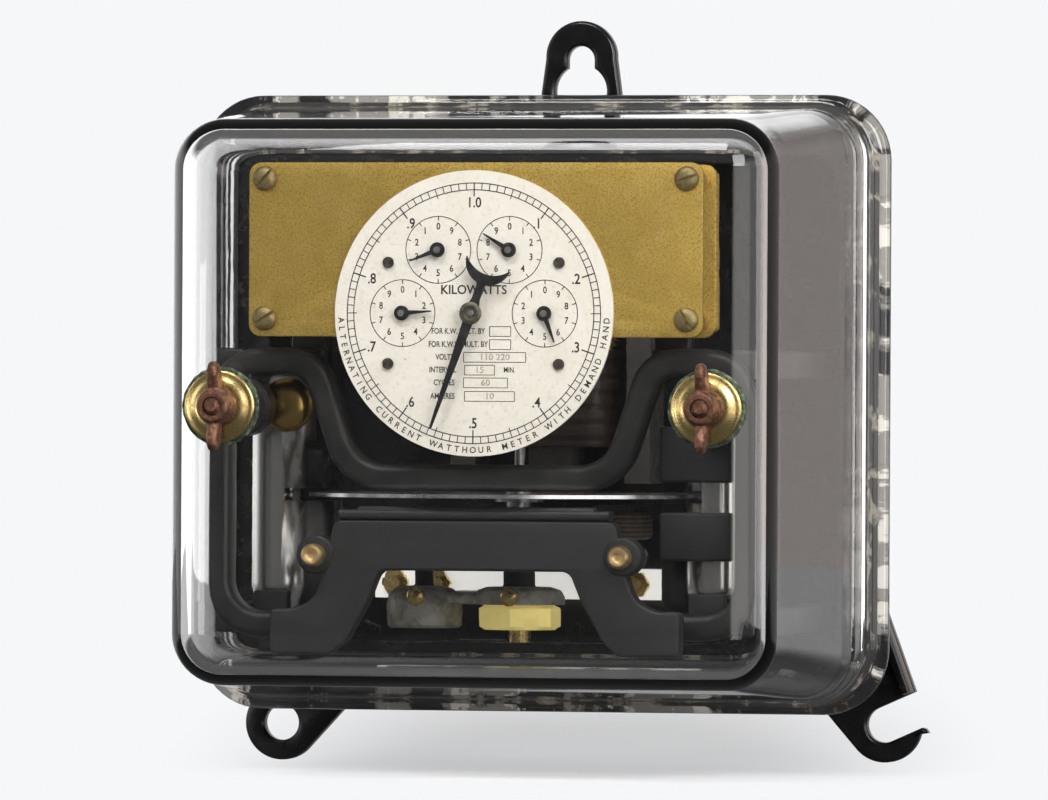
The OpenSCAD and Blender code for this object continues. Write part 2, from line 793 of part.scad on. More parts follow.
// The strap that holds the back end of the driving arbor.
module arbor_bridge() color([0.78, 0.62, 0.3]) {
    x = drive_place[0];
    difference() {
        union() {
            block([x - bridge_half, bridge_back, bridge_z[0]],
                [x + bridge_half, bridge_back + bridge_thick, bridge_z[1] + bridge_thick]);
            block([x - bridge_half, bridge_back, bridge_z[1]],
                [x + bridge_half, rear_back, bridge_z[1] + bridge_thick]);
            block([x - bridge_half, rear_back - bridge_thick, bridge_z[1]],
                [x + bridge_half, rear_back, bridge_z[1] + 6]);
        }
        rod(drive_place, bridge_back - over, bridge_thick + 2 * over, arbor_hole);
    }
}

module hand_spring() color([0.7, 0.6, 0.3]) {
    slab(rear_back - 0.8, 0.8) translate(dial_place) difference() {
        circle(r = 3);
        circle(r = arbor_radius + 0.3);
    }
}

module cover_studs() color([0.55, 0.42, 0.25]) {
    foot = frame_back - 2;
    for (x = SIDES) {
        rod([x * stud_x, stud_z], foot, stud_length - 1.5, stud_radius);
        translate([x * stud_x, -(foot + stud_length - 1.5), stud_z]) rotate([90, 0, 0])
            cylinder(h = 1.5, r1 = stud_radius, r2 = stud_radius * 0.55);
    }
}

// The rotor.
module disk() color([0.85, 0.86, 0.87]) {
    difference() {
        translate([0, -spindle_depth, disk_z - disk_thick / 2])
            cylinder(h = disk_thick, r = disk_radius, $fn = 128);
        post(0, spindle_depth, disk_z - disk_thick, 2 * disk_thick, hub_radius);
    }
}

module disk_hub() color([0.7, 0.7, 0.7]) {
    flange_top = disk_z - disk_thick / 2;
    difference() {
        union() {
            post(0, spindle_depth, hub_z[0], hub_z[1] - hub_z[0], hub_radius);
            post(0, spindle_depth, flange_top - 1.4, 1.4, hub_flange);
        }
        post(0, spindle_depth, hub_z[0] - over, hub_z[1] - hub_z[0] + 2 * over, spindle_radius);
    }
}

module spindle() color([0.8, 0.8, 0.8]) {
    difference() {
        post(0, spindle_depth, spindle_foot, spindle_top - spindle_foot, spindle_radius);
        post(0, spindle_depth, upper_pin_foot - 0.5, spindle_top - upper_pin_foot + 0.5 + over,
            upper_pin_radius + arbor_play);
    }
    post(0, spindle_depth, spindle_foot - pivot_length, pivot_length, pivot_radius);
}

module worm() color([0.8, 0.8, 0.8]) {
    length = worm_turns * worm_pitch;
    foot = drive_place[1] - length / 2;
    difference() {
        translate([0, -spindle_depth, foot])
            linear_extrude(height = length, twist = 360 * worm_turns, slices = 12 * worm_turns,
                $fn = 14)
                translate([worm_rise * cos(180 + 180 * worm_turns),
                    worm_rise * sin(180 + 180 * worm_turns)])
                    circle(r = worm_radius, $fn = 14);
        post(0, spindle_depth, foot - over, length + 2 * over, spindle_radius);
    }
}

// The worm wheel and the arbor that it turns.
module worm_wheel() color([0.8, 0.65, 0.3]) {
    reach = drive_place[0] - worm_radius;
    slab(spindle_depth - wheel_thick / 2, wheel_thick) translate(drive_place) difference() {
        polygon([for (i = [0:worm_wheel_teeth - 1], k = [0:3])
            let (
                radius = k == 0 || k == 3 ? reach - 0.45 : reach + 0.2,
                half = k == 0 || k == 3 ? 0.26 : 0.1,
                angle = 180 + 360 / worm_wheel_teeth * i
                    + (k < 2 ? -1 : 1) * half / radius * 180 / PI
            )
            radius * [cos(angle), sin(angle)]]);
        circle(r = arbor_radius);
    }
}

module pinion(place, wheel_depth, towards) {
    slab(wheel_depth + wheel_thick / 2 - pinion_length / 2, pinion_length) translate(place)
        gear_outline(pinion_teeth, gear_module * pinion_teeth / 2, gear_module, towards);
}

module drive_arbor() color([0.75, 0.75, 0.74]) {
    rod(drive_place, bridge_back, plate_back + 1 - bridge_back, arbor_radius);
    pinion(drive_place, wheel_depths[0], 60);
}

// The counting wheels. Wheel i turns on arbor i and is driven by the pinion before it.
module counting_wheel(i) {
    towards = i == 0 ? 240 : 240 + 60 * i;
    slab(wheel_depths[i], wheel_thick) translate(arbor_places[i]) difference() {
        gear_outline(wheel_teeth, gear_module * wheel_teeth / 2, gear_module,
            towards + 180 / wheel_teeth);
        circle(r = arbor_radius);
        for (k = [0:4]) rotate(72 * k) translate([gear_module * wheel_teeth * 0.29, 0])
            circle(r = gear_module * wheel_teeth * 0.12);
    }
}

module counting_arbor(i) {
    rod(arbor_places[i], rear_back - 0.8, arbor_tip - rear_back + 0.8, arbor_radius);
    if (i < 3) pinion(arbor_places[i], wheel_depths[i + 1], 120 + 60 * i);
}

module pointer(i) {
    difference() {
        union() {
            rod(arbor_places[i], pointer_depth, pointer_thick, pointer_hub);
            slab(pointer_depth, pointer_thick) translate(arbor_places[i]) rotate(-pointer_angles[i])
                polygon([[-0.75, 0], [-0.14, pointer_length], [0.14, pointer_length], [0.75, 0]]);
        }
        rod(arbor_places[i], pointer_depth - over, pointer_thick + 2 * over, arbor_radius);
    }
}

module wheel_1() color([0.8, 0.65, 0.3]) counting_wheel(0);

module wheel_2() color([0.8, 0.65, 0.3]) counting_wheel(1);

module wheel_3() color([0.8, 0.65, 0.3]) counting_wheel(2);

module wheel_4() color([0.8, 0.65, 0.3]) counting_wheel(3);

module arbor_1() color([0.75, 0.75, 0.74]) counting_arbor(0);

module arbor_2() color([0.75, 0.75, 0.74]) counting_arbor(1);

module arbor_3() color([0.75, 0.75, 0.74]) counting_arbor(2);

module arbor_4() color([0.75, 0.75, 0.74]) counting_arbor(3);

module pointer_1() color([0.05, 0.05, 0.05]) pointer(0);

module pointer_2() color([0.05, 0.05, 0.05]) pointer(1);

module pointer_3() color([0.05, 0.05, 0.05]) pointer(2);

module pointer_4() color([0.05, 0.05, 0.05]) pointer(3);

// The demand hand, with a crescent for its tail.
module demand_hand() color([0.04, 0.04, 0.045]) {
    horn = 6.3;
    horn_centre = 14.5;
    horn_shift = 4.55;
    horn_cut = 7.95;
    translate([0, 0, dial_z]) rotate([0, hand_angle, 0]) difference() {
        union() {
            slab(hand_depth, hand_thick) polygon([
                [-1.1, -9.5], [-1.45, 0], [-0.35, hand_length - 1.5], [0, hand_length],
                [0.35, hand_length - 1.5], [1.45, 0], [1.1, -9.5]
            ]);
            rod([0, 0], hand_depth, hand_thick, 2.4);
            difference() {
                rod([0, -horn_centre], hand_depth, hand_thick, horn);
                rod([0, -horn_centre - horn_shift], hand_depth - over, hand_thick + 2 * over, horn_cut);
            }
        }
        rod([0, 0], hand_depth - over, hand_thick + 2 * over, arbor_radius);
    }
}

module hand_arbor() color([0.7, 0.68, 0.62]) {
    rod(dial_place, rear_back - 2.6, hand_depth + hand_thick + 1 - rear_back + 2.6, arbor_radius);
    rod(dial_place, rear_back - 2.5, 1.6, 2.5);
    slab(hand_depth + hand_thick, 0.8) translate(dial_place) difference() {
        circle(r = hand_collar);
        circle(r = arbor_radius);
    }
}

// The glass, solid and shrunk by an inset. Its back face is at a depth.
module glass_block(inset, back) {
    hull($fn = 32) {
        for (x = SIDES, z = SIDES)
            translate([x * (glass_width / 2 - glass_round), glass_round - glass_front,
                z * (glass_height / 2 - glass_round)])
                sphere(r = glass_round - inset, $fn = 32);
        slab(back, rim_front - back)
            rounded(glass_width + 2 * (glass_draft - inset), glass_height + 2 * (glass_draft * 0.6 - inset),
                rim_corner - inset, $fn = 32);
    }
}

module glass_cover() color([0.85, 0.9, 0.9, 0.35]) {
    difference() {
        union() {
            glass_block(0, rim_back);
            slab(rim_back, rim_thick) rounded(rim_width, rim_height, rim_corner);
        }
        glass_block(glass_wall, rim_back - over);
        for (x = SIDES) rod([x * stud_x, stud_z], glass_front - 2 * glass_wall, 3 * glass_wall, stud_hole);
    }
}

module stud_gaskets() color([0.2, 0.33, 0.27]) {
    for (x = SIDES) slab(glass_front, gasket_thick) translate([x * stud_x, stud_z]) difference() {
        circle(r = gasket_radius);
        circle(r = stud_radius + 0.4);
    }
}

// A dished washer, flat at its edge and raised in the middle.
module stud_washers() color([0.8, 0.62, 0.28]) {
    inner = stud_radius + 0.3;
    for (x = SIDES) translate([x * stud_x, -washer_back, stud_z]) rotate([90, 0, 0])
        rotate_extrude() polygon([
            [washer_radius, 0], [washer_radius, washer_thick], [washer_radius - 1.2, washer_thick + 0.3],
            [nut_hub_radius + 0.6, washer_dish], [inner, washer_dish],
            [inner, washer_dish - washer_thick], [nut_hub_radius, washer_dish - washer_thick],
            [washer_radius - 1.6, 0]
        ]);
}

// A wing nut on its stud, with its wings up and down.
module wing_nut(side) {
    difference() {
        union() {
            translate([0, -nut_back, 0]) rotate([90, 0, 0])
                cylinder(h = nut_hub_depth, r1 = nut_hub_radius, r2 = nut_hub_radius - 1.2);
            for (end = SIDES) translate([-wing_thick / 2, 0, 0]) rotate([90, 0, 90])
                linear_extrude(height = wing_thick) scale([-1, end]) {
                    translate([nut_back + 4.6, wing_span / 2 - wing_radius]) circle(r = wing_radius);
                    polygon([
                        [nut_back + 0.8, 3], [nut_back + 1.2, wing_span / 2 - wing_radius],
                        [nut_back + 8, wing_span / 2 - wing_radius], [nut_back + nut_hub_depth - 0.6, 3]
                    ]);
                }
        }
        rod([0, 0], nut_back - over, nut_hub_depth + 3 * over, nut_bore);
    }
}

module wing_nut_left() color([0.55, 0.33, 0.22]) translate([-stud_x, 0, stud_z]) wing_nut();

module wing_nut_right() color([0.55, 0.33, 0.22]) translate([stud_x, 0, stud_z]) wing_nut();

base_casting();
cover_seal();
lead_bushings();
terminal_block();
terminal_studs();
main_frame();
frame_screws();
lower_bracket();
bracket_pins();
drag_magnet_left();
drag_magnet_right();
magnet_clamps();
magnet_keeper();
potential_core();
potential_coil();
current_core();
current_coils();
shading_band();
lower_bearing_bridge();
jewel_screw();
bearing_nut();
upper_bearing_bridge();
upper_bearing_pin();
register_front_plate();
register_rear_plate();
register_pillars();
register_screws();
dial_plate();
dial_screws();
arbor_bridge();
hand_spring();
cover_studs();
disk();
disk_hub();
spindle();
worm();
worm_wheel();
drive_arbor();
wheel_1();
arbor_1();
pointer_1();
wheel_2();
arbor_2();
pointer_2();
wheel_3();
arbor_3();
pointer_3();
wheel_4();
arbor_4();
pointer_4();
demand_hand();
hand_arbor();
glass_cover();
stud_gaskets();
stud_washers();
wing_nut_left();
wing_nut_right();
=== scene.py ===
"""Builds the visible model of a glass-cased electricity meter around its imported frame.

Lengths are in millimetres until a point goes into a mesh, and a depth is measured from the wall
towards the room, so a point at depth d has y = -d. Outlines are drawn in X and Z.
"""

import logging
import math
import random
from collections.abc import Callable, Iterable, Sequence
from dataclasses import dataclass, field
from enum import Enum

import bmesh
import bpy
from mathutils import Matrix, Vector


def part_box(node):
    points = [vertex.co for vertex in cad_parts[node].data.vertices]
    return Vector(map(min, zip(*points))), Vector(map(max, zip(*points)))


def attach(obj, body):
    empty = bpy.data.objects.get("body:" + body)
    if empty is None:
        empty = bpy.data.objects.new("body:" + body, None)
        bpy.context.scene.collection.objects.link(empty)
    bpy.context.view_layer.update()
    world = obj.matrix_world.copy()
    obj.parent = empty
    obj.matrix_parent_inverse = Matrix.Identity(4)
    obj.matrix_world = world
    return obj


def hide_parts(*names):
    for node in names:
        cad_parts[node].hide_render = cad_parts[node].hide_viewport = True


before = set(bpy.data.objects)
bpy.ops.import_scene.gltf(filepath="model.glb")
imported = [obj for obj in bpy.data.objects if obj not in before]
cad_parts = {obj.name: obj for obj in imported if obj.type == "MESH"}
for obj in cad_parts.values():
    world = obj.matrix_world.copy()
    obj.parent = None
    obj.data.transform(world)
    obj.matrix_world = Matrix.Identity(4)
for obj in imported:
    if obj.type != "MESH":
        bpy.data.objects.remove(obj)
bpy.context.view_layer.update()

MM = 0.001
SIDES = (-1, 1)
LOG = logging.getLogger("meter")
DUST_COLOUR = (0.5, 0.48, 0.45)
GLASS_IOR = 1.5

Point = tuple[float, float]
Colour = tuple[float, float, float]
Ring = list[Vector]
BMesh = bmesh.types.BMesh
Socket = bpy.types.NodeSocket
Tree = bpy.types.NodeTree
Material = bpy.types.Material
Piece = bpy.types.Object
Mesh = bpy.types.Mesh
Node = bpy.types.Node


# ---------------------------------------------------------------- outlines


def polar(centre: Point, radius: float, angle: float) -> Point:
    """The point at a radius from a centre and at an angle in degrees, anticlockwise from +X."""
    turned = math.radians(angle)
    return centre[0] + radius * math.cos(turned), centre[1] + radius * math.sin(turned)


def arc(centre: Point, radius: float, start: float, end: float, steps: int) -> list[Point]:
    """Points along an arc, with both ends.

    Args:
        centre: Middle of the arc.
        radius: Its radius.
        start: Angle of the first point, in degrees, anticlockwise from +X.
        end: Angle of the last point.
        steps: Number of pieces that the arc is cut into.

    Returns:
        The points in order.
    """
    return [polar(centre, radius, start + (end - start) * i / steps) for i in range(steps + 1)]


def rounded_outline(half_x: float, half_z: float, radius: float, steps: int = 10) -> list[Point]:
    """A rectangle with round corners, anticlockwise, about the origin.

    Args:
        half_x: Half of its width.
        half_z: Half of its height.
        radius: Radius of its corners.
        steps: Pieces in each corner.

    Returns:
        The outline's points.
    """
    found = []
    corners = ((1, 1, 0), (-1, 1, 90), (-1, -1, 180), (1, -1, 270))
    for x, z, start in corners:
        centre = (x * (half_x - radius), z * (half_z - radius))
        found += arc(centre, radius, start, start + 90, steps)
    return found


def fillet(points: Sequence[Point], radii: Sequence[float], closed: bool,
           steps: int = 8) -> list[Point]:
    """Rounds the corners of a line of points.

    Args:
        points: The corners.
        radii: The radius at each corner. Zero keeps the corner sharp.
        closed: Whether the line runs back to its start.
        steps: Pieces in each round corner.

    Returns:
        The rounded line's points.
    """
    found: list[Point] = []
    count = len(points)
    for i, radius in enumerate(radii):
        here = Vector(points[i])
        ends = not closed and i in (0, count - 1)
        if radius <= 0 or ends:
            found.append((here.x, here.y))
            continue
        before = (Vector(points[i - 1]) - here).normalized()
        after = (Vector(points[(i + 1) % count]) - here).normalized()
        half = before.angle(after) / 2
        reach = radius / math.tan(half)
        centre = here + (before + after).normalized() * radius / math.sin(half)
        first = here + before * reach - centre
        last = here + after * reach - centre
        turn = first.angle_signed(last)
        for k in range(steps + 1):
            spoke = first.copy()
            spoke.rotate(Matrix.Rotation(-turn * k / steps, 2))
            found.append((centre.x + spoke.x, centre.y + spoke.y))
    return found


# ---------------------------------------------------------------- meshes


def new_object(name: str, mesh: Mesh) -> Piece:
    """Links a new object for a mesh to the scene."""
    made = bpy.data.objects.new(name, mesh)
    bpy.context.scene.collection.objects.link(made)
    return made


def smooth(mesh: Mesh, sharp: float = 38.0) -> None:
    """Shades a mesh smooth, with edges over an angle in degrees kept sharp."""
    mesh.shade_smooth()
    mesh.set_sharp_from_angle(angle=math.radians(sharp))


def from_bmesh(name: str, built: BMesh, sharp: float = 38.0) -> Piece:
    """Turns a bmesh in millimetres into a smooth object in metres, with faces that look outwards.

    Args:
        name: Name of the object.
        built: The bmesh, which is freed.
        sharp: Edges over this angle in degrees stay sharp.

    Returns:
        The object.
    """
    bmesh.ops.recalc_face_normals(built, faces=built.faces)
    bmesh.ops.scale(built, vec=(MM, MM, MM), verts=built.verts)
    mesh = bpy.data.meshes.new(name)
    built.to_mesh(mesh)
    built.free()
    smooth(mesh, sharp)
    return new_object(name, mesh)


def loft(built: BMesh, rings: Sequence[Ring], joined: bool = False, caps: bool = True) -> None:
    """Skins a row of rings that have equal numbers of points.

    Args:
        built: The bmesh that the skin goes into.
        rings: The rings in order.
        joined: Whether the last ring meets the first, as in a torus.
        caps: Whether the first and last ring are filled, where they aren't joined.
    """
    made = [[built.verts.new(p) for p in ring] for ring in rings]
    count = len(made[0])
    spans = len(made) if joined else len(made) - 1
    for i in range(spans):
        low, high = made[i], made[(i + 1) % len(made)]
        for k in range(count):
            n = (k + 1) % count
            built.faces.new((low[k], low[n], high[n], high[k]))
    if caps and not joined:
        built.faces.new(made[0])
        built.faces.new(made[-1])


def ring_at(outline: Iterable[Point], depth: float) -> Ring:
    """An X and Z outline placed at a depth."""
    return [Vector((x, -depth, z)) for x, z in outline]


def rounded_ring(half_x: float, half_z: float, radius: float, depth: float,
                 steps: int = 10) -> Ring:
    """A round-cornered ring at a depth."""
    return ring_at(rounded_outline(half_x, half_z, max(radius, 0.05), steps), depth)


def inset_ring(half: Point, inset: float, radius: float, depth: float) -> Ring:
    """A fine round-cornered ring at a depth, drawn in from half sizes."""
    return rounded_ring(half[0] - inset, half[1] - inset, radius, depth, 12)


def plate(name: str, outlines: Sequence[Sequence[Point]], back: float, front: float,
          bevel: float = 0.3, steps: int = 3) -> Piece:
    """A flat plate with rounded edges, cut from an outline and its holes.

    Args:
        name: Name of the object.
        outlines: The outer outline first and then its holes, in X and Z.
        back: Depth of the back face.
        front: Depth of the front face.
        bevel: Rounding of the edges.
        steps: Pieces in the rounding.

    Returns:
        The plate, as a mesh.
    """
    curve = bpy.data.curves.new(name, "CURVE")
    curve.dimensions = "2D"
    curve.fill_mode = "BOTH"
    curve.extrude = (front - back) / 2 - bevel
    curve.bevel_depth = bevel
    curve.bevel_resolution = steps
    curve.offset = -bevel
    for outline in outlines:
        spline = curve.splines.new("POLY")
        spline.points.add(len(outline) - 1)
        spline.use_cyclic_u = True
        for point, (x, z) in zip(spline.points, outline):
            point.co = (x, z, 0, 1)
    stand_in = new_object(name + ".curve", curve)
    graph = bpy.context.evaluated_depsgraph_get()
    mesh = bpy.data.meshes.new_from_object(stand_in.evaluated_get(graph))
    bpy.data.objects.remove(stand_in)
    bpy.data.curves.remove(curve)
    built = bmesh.new()
    built.from_mesh(mesh)
    bpy.data.meshes.remove(mesh)
    bmesh.ops.remove_doubles(built, verts=built.verts, dist=0.002)
    bmesh.ops.rotate(built, matrix=Matrix.Rotation(math.pi / 2, 3, "X"), verts=built.verts)
    bmesh.ops.translate(built, vec=(0, -(front + back) / 2, 0), verts=built.verts)
    return from_bmesh(name, built, 30)


def sweep(built: BMesh, path: Sequence[Point], width: float, back: float, front: float,
          radius: float) -> None:
    """Runs a round-edged bar along a path in X and Z.

    Args:
        built: The bmesh that the bar goes into.
        path: The middle line of the bar.
        width: Width of the bar across its run.
        back: Depth of its back.
        front: Depth of its front.
        radius: Rounding of its edges.
    """
    section = rounded_outline(width / 2, (front - back) / 2, radius, 4)
    middle = (front + back) / 2
    rings = []
    for i, point in enumerate(path):
        before = Vector(path[max(i - 1, 0)])
        after = Vector(path[min(i + 1, len(path) - 1)])
        along = (after - before).normalized()
        across = Vector((-along.y, along.x))
        rings.append([
            Vector((point[0] + across.x * a, -(middle + b), point[1] + across.y * a)) for a,
            b in section
        ])
    loft(built, rings)


class Axis(Enum):
    """The way that the middle line of a turned piece runs."""

    ROOM = "towards the room"
    UP = "upwards"


def turn(built: BMesh, profile: Sequence[Point], place: tuple[float, float, float],
         axis: Axis = Axis.ROOM, steps: int = 48, closed: bool = True) -> None:
    """Turns a profile about an axis.

    Args:
        built: The bmesh that the piece goes into.
        profile: Pairs of radius and distance along the axis.
        place: x, depth and z of the profile's start on the axis.
        axis: The way that the axis runs.
        steps: Pieces in a turn.
        closed: Whether the profile is a loop. If it isn't, its ends are filled.
    """
    x, depth, z = place
    rings = []
    for radius, along in profile:
        ring = []
        for i in range(steps):
            angle = 2 * math.pi * i / steps
            a, b = radius * math.cos(angle), radius * math.sin(angle)
            spot = (x + a, -depth - along, z + b) if axis is Axis.ROOM else (x + a, b - depth,
                                                                             z + along)
            ring.append(Vector(spot))
        rings.append(ring)
    loft(built, rings, joined=closed)


def box(built: BMesh, low: Sequence[float], high: Sequence[float], bevel: float = 0.4) -> None:
    """A block with bevelled edges between two corners, given as x, depth and z."""
    made = bmesh.ops.create_cube(built, size=1.0)["verts"]
    size = Vector(b - a for a, b in zip(low, high))
    middle = Vector((a + b) / 2 for a, b in zip(low, high))
    bmesh.ops.scale(built, vec=size, verts=made)
    bmesh.ops.translate(built, vec=(middle.x, -middle.y, middle.z), verts=made)
    if bevel > 0:
        edges = {e for v in made for e in v.link_edges}
        bmesh.ops.bevel(built, geom=list(edges), offset=bevel, segments=3, profile=0.5,
                        affect="EDGES")


def merged(name: str, pieces: Sequence[Piece], sharp: float = 38.0) -> Piece:
    """Joins objects into one that has their meshes.

    Args:
        name: Name of the joined object.
        pieces: The objects, which are removed.
        sharp: Edges over this angle in degrees stay sharp.

    Returns:
        The joined object.
    """
    built = bmesh.new()
    for piece in pieces:
        mesh = piece.data
        built.from_mesh(mesh)
        bpy.data.objects.remove(piece)
        bpy.data.meshes.remove(mesh)
    mesh = bpy.data.meshes.new(name)
    built.to_mesh(mesh)
    built.free()
    smooth(mesh, sharp)
    return new_object(name, mesh)


def with_modifier(piece: Piece, kind: str, settings: dict[str, object]) -> None:
    """Adds a modifier to an object and applies it.

    Args:
        piece: The object.
        kind: The modifier's type.
        settings: Values for the modifier's properties.
    """
    modifier = piece.modifiers.new("shape", kind)
    for key, value in settings.items():
        setattr(modifier, key, value)
    graph = bpy.context.evaluated_depsgraph_get()
    mesh = bpy.data.meshes.new_from_object(piece.evaluated_get(graph))
    piece.modifiers.clear()
    old = piece.data
    piece.data = mesh
    bpy.data.meshes.remove(old)


def cut(piece: Piece, shape: BMesh) -> None:
    """Cuts a shape out of an object.

    Args:
        piece: The object.
        shape: What is taken away, in millimetres. It is freed.
    """
    tool = from_bmesh("cutter", shape)
    with_modifier(piece, "BOOLEAN", {"operation": "DIFFERENCE", "object": tool, "solver": "EXACT"})
    bpy.data.objects.remove(tool)


def cast(piece: Piece, grain: float, passes: int = 6) -> None:
    """Melts an object's overlapping shapes into one skin with soft inner corners, as in a casting.

    Args:
        piece: The object.
        grain: Size of the skin's faces.
        passes: How often the skin is smoothed.
    """
    with_modifier(piece, "REMESH", {"mode": "VOXEL", "voxel_size": grain * MM})
    with_modifier(piece, "SMOOTH", {"factor": 0.5, "iterations": passes})
    piece.data.shade_smooth()


# ---------------------------------------------------------------- shader groups


@dataclass
class Shade:
    """A node tree that is being wired up."""

    tree: Tree

    def node(self, kind: str, **values: object) -> Node:
        """Adds a node and sets its properties and unlinked inputs.

        Args:
            kind: The node's type.
            values: Properties by name. A name that isn't a property is an input.

        Returns:
            The node.
        """
        made = self.tree.nodes.new(kind)
        for key, value in values.items():
            if hasattr(made, key):
                setattr(made, key, value)
            else:
                made.inputs[key.replace("_", " ")].default_value = value
        return made

    def link(self, start: Socket, end: Socket) -> None:
        """Links an output to an input."""
        self.tree.links.new(start, end)

    def feed(self, socket: Socket, value: object) -> None:
        """Gives an input a value: an output is linked, and a number or a colour is set."""
        if isinstance(value, Socket):
            self.link(value, socket)
        else:
            socket.default_value = (*value, 1.0) if isinstance(value, tuple) else value

    def math(self, operation: str, a: object, b: object = 0.0, clamp: bool = False) -> Socket:
        """A Math node on sockets or numbers.

        Args:
            operation: What it does.
            a: First socket or number.
            b: Second socket or number.
            clamp: Whether the result is kept from 0 to 1.

        Returns:
            Its output.
        """
        made = self.node("ShaderNodeMath", operation=operation, use_clamp=clamp)
        self.feed(made.inputs[0], a)
        self.feed(made.inputs[1], b)
        return made.outputs[0]

    def mapped(self, place: Socket, **values: Colour) -> Socket:
        """Moves, turns or scales a vector.

        Args:
            place: The vector.
            values: Inputs of the Mapping node by name.

        Returns:
            Its output.
        """
        made = self.node("ShaderNodeMapping")
        for key, value in values.items():
            made.inputs[key].default_value = value
        self.link(place, made.inputs["Vector"])
        return made.outputs[0]

    def axes(self, vector: Socket) -> Sequence[Socket]:
        """The x, y and z of a vector, as outputs."""
        made = self.node("ShaderNodeSeparateXYZ")
        self.link(vector, made.inputs[0])
        return made.outputs

    def mix(self, mask: Socket, a: object, b: object) -> Socket:
        """A colour mix of sockets or colours by a mask.

        Args:
            mask: Share of the second colour.
            a: First socket or colour.
            b: Second socket or colour.

        Returns:
            Its output.
        """
        made = self.node("ShaderNodeMix", data_type="RGBA")
        self.link(mask, made.inputs[0])
        self.feed(made.inputs[6], a)
        self.feed(made.inputs[7], b)
        return made.outputs[2]

    def blend(self, mask: Socket, a: object, b: object) -> Socket:
        """A number mix of sockets or numbers by a mask."""
        made = self.node("ShaderNodeMix", data_type="FLOAT")
        self.link(mask, made.inputs[0])
        self.feed(made.inputs[2], a)
        self.feed(made.inputs[3], b)
        return made.outputs[0]

    def ramp(self, value: Socket, low: float, high: float) -> Socket:
        """Spreads the values from low to high over 0 to 1, smoothly."""
        made = self.node("ShaderNodeMapRange", interpolation_type="SMOOTHSTEP")
        self.link(value, made.inputs[0])
        made.inputs[1].default_value = low
        made.inputs[2].default_value = high
        return made.outputs[0]


class Effect(Enum):
    """The shared surface effects, each a shader node group."""

    PATCHES = "aged patches"
    SCRATCHES = "fine scratches"
    WEAR = "worn edges"
    DUST = "settled dust"
    GRAIN = "cast grain"


@dataclass
class EffectGroup:
    """A shared effect that is being wired up, with a Place vector, number inputs and one output."""

    effect: Effect
    inputs: dict[str, float]
    output: str

    def __post_init__(self) -> None:
        """Makes the node group and its sockets."""
        tree = bpy.data.node_groups.new(self.effect.value, "ShaderNodeTree")
        face = tree.interface
        face.new_socket(name="Place", in_out="INPUT", socket_type="NodeSocketVector")
        for name, value in self.inputs.items():
            socket = face.new_socket(name=name, in_out="INPUT", socket_type="NodeSocketFloat")
            socket.default_value = value
        face.new_socket(name=self.output, in_out="OUTPUT", socket_type="NodeSocketFloat")
        self.shade = Shade(tree)
        self.given = self.shade.node("NodeGroupInput").outputs
        self.out = self.shade.node("NodeGroupOutput").inputs[0]

    def sized(self, texture: Node, place: Socket | None = None,
              share: float = 1.0) -> None:
        """Places a texture and scales it by the Size input.

        Args:
            texture: The texture's node.
            place: Where it is laid. Without one it is laid at the group's Place.
            share: Its scale at a size of 1 mm.
        """
        self.shade.link(place or self.given["Place"], texture.inputs["Vector"])
        self.shade.link(self.shade.math("DIVIDE", share, self.given["Size"]),
                        texture.inputs["Scale"])

    def finish(self, value: Socket) -> Tree:
        """Sends a value to the output and returns the node group."""
        self.shade.link(value, self.out)
        return self.shade.tree


def patches_group() -> Tree:
    """Cloudy patches: Amount is the covered share, Edge their softness, Size their size in mm."""
    group = EffectGroup(Effect.PATCHES, {"Size": 6.0, "Amount": 0.4, "Edge": 0.1}, "Mask")
    shade, given = group.shade, group.given
    noise = shade.node("ShaderNodeTexNoise", Detail=7.0, Roughness=0.62, Distortion=0.4)
    group.sized(noise)
    level = shade.math("SUBTRACT", 0.76, shade.math("MULTIPLY", given["Amount"], 0.52))
    spread = shade.math("SUBTRACT", noise.outputs[0], level)
    steep = shade.math("DIVIDE", spread, given["Edge"])
    return group.finish(shade.math("ADD", steep, 0.5, clamp=True))


def scratches_group() -> Tree:
    """Thin scratches in two leanings: Size is their length in mm, Amount their strength."""
    group = EffectGroup(Effect.SCRATCHES, {"Size": 12.0, "Amount": 0.5}, "Mask")
    shade, given = group.shade, group.given
    masks = []
    for lean, stretch in ((0.5, 14.0), (-0.9, 22.0), (1.45, 30.0)):
        leaning = shade.mapped(given["Place"], Rotation=(0.0, lean, 0.0), Scale=(stretch, 1.0, 1.0))
        noise = shade.node("ShaderNodeTexNoise", Detail=2.0, Roughness=0.5)
        group.sized(noise, leaning)
        away = shade.math("ABSOLUTE", shade.math("SUBTRACT", noise.outputs[0], 0.5))
        masks.append(shade.math("SUBTRACT", 1.0, shade.ramp(away, 0.0, 0.008)))
    both = shade.math("MAXIMUM", shade.math("MAXIMUM", masks[0], masks[1]), masks[2])
    gaps = shade.node("ShaderNodeTexNoise", Scale=0.11, Detail=3.0)
    shade.link(given["Place"], gaps.inputs["Vector"])
    broken = shade.math("MULTIPLY", both, shade.ramp(gaps.outputs[0], 0.5, 0.62))
    return group.finish(shade.math("MULTIPLY", broken, given["Amount"], clamp=True))


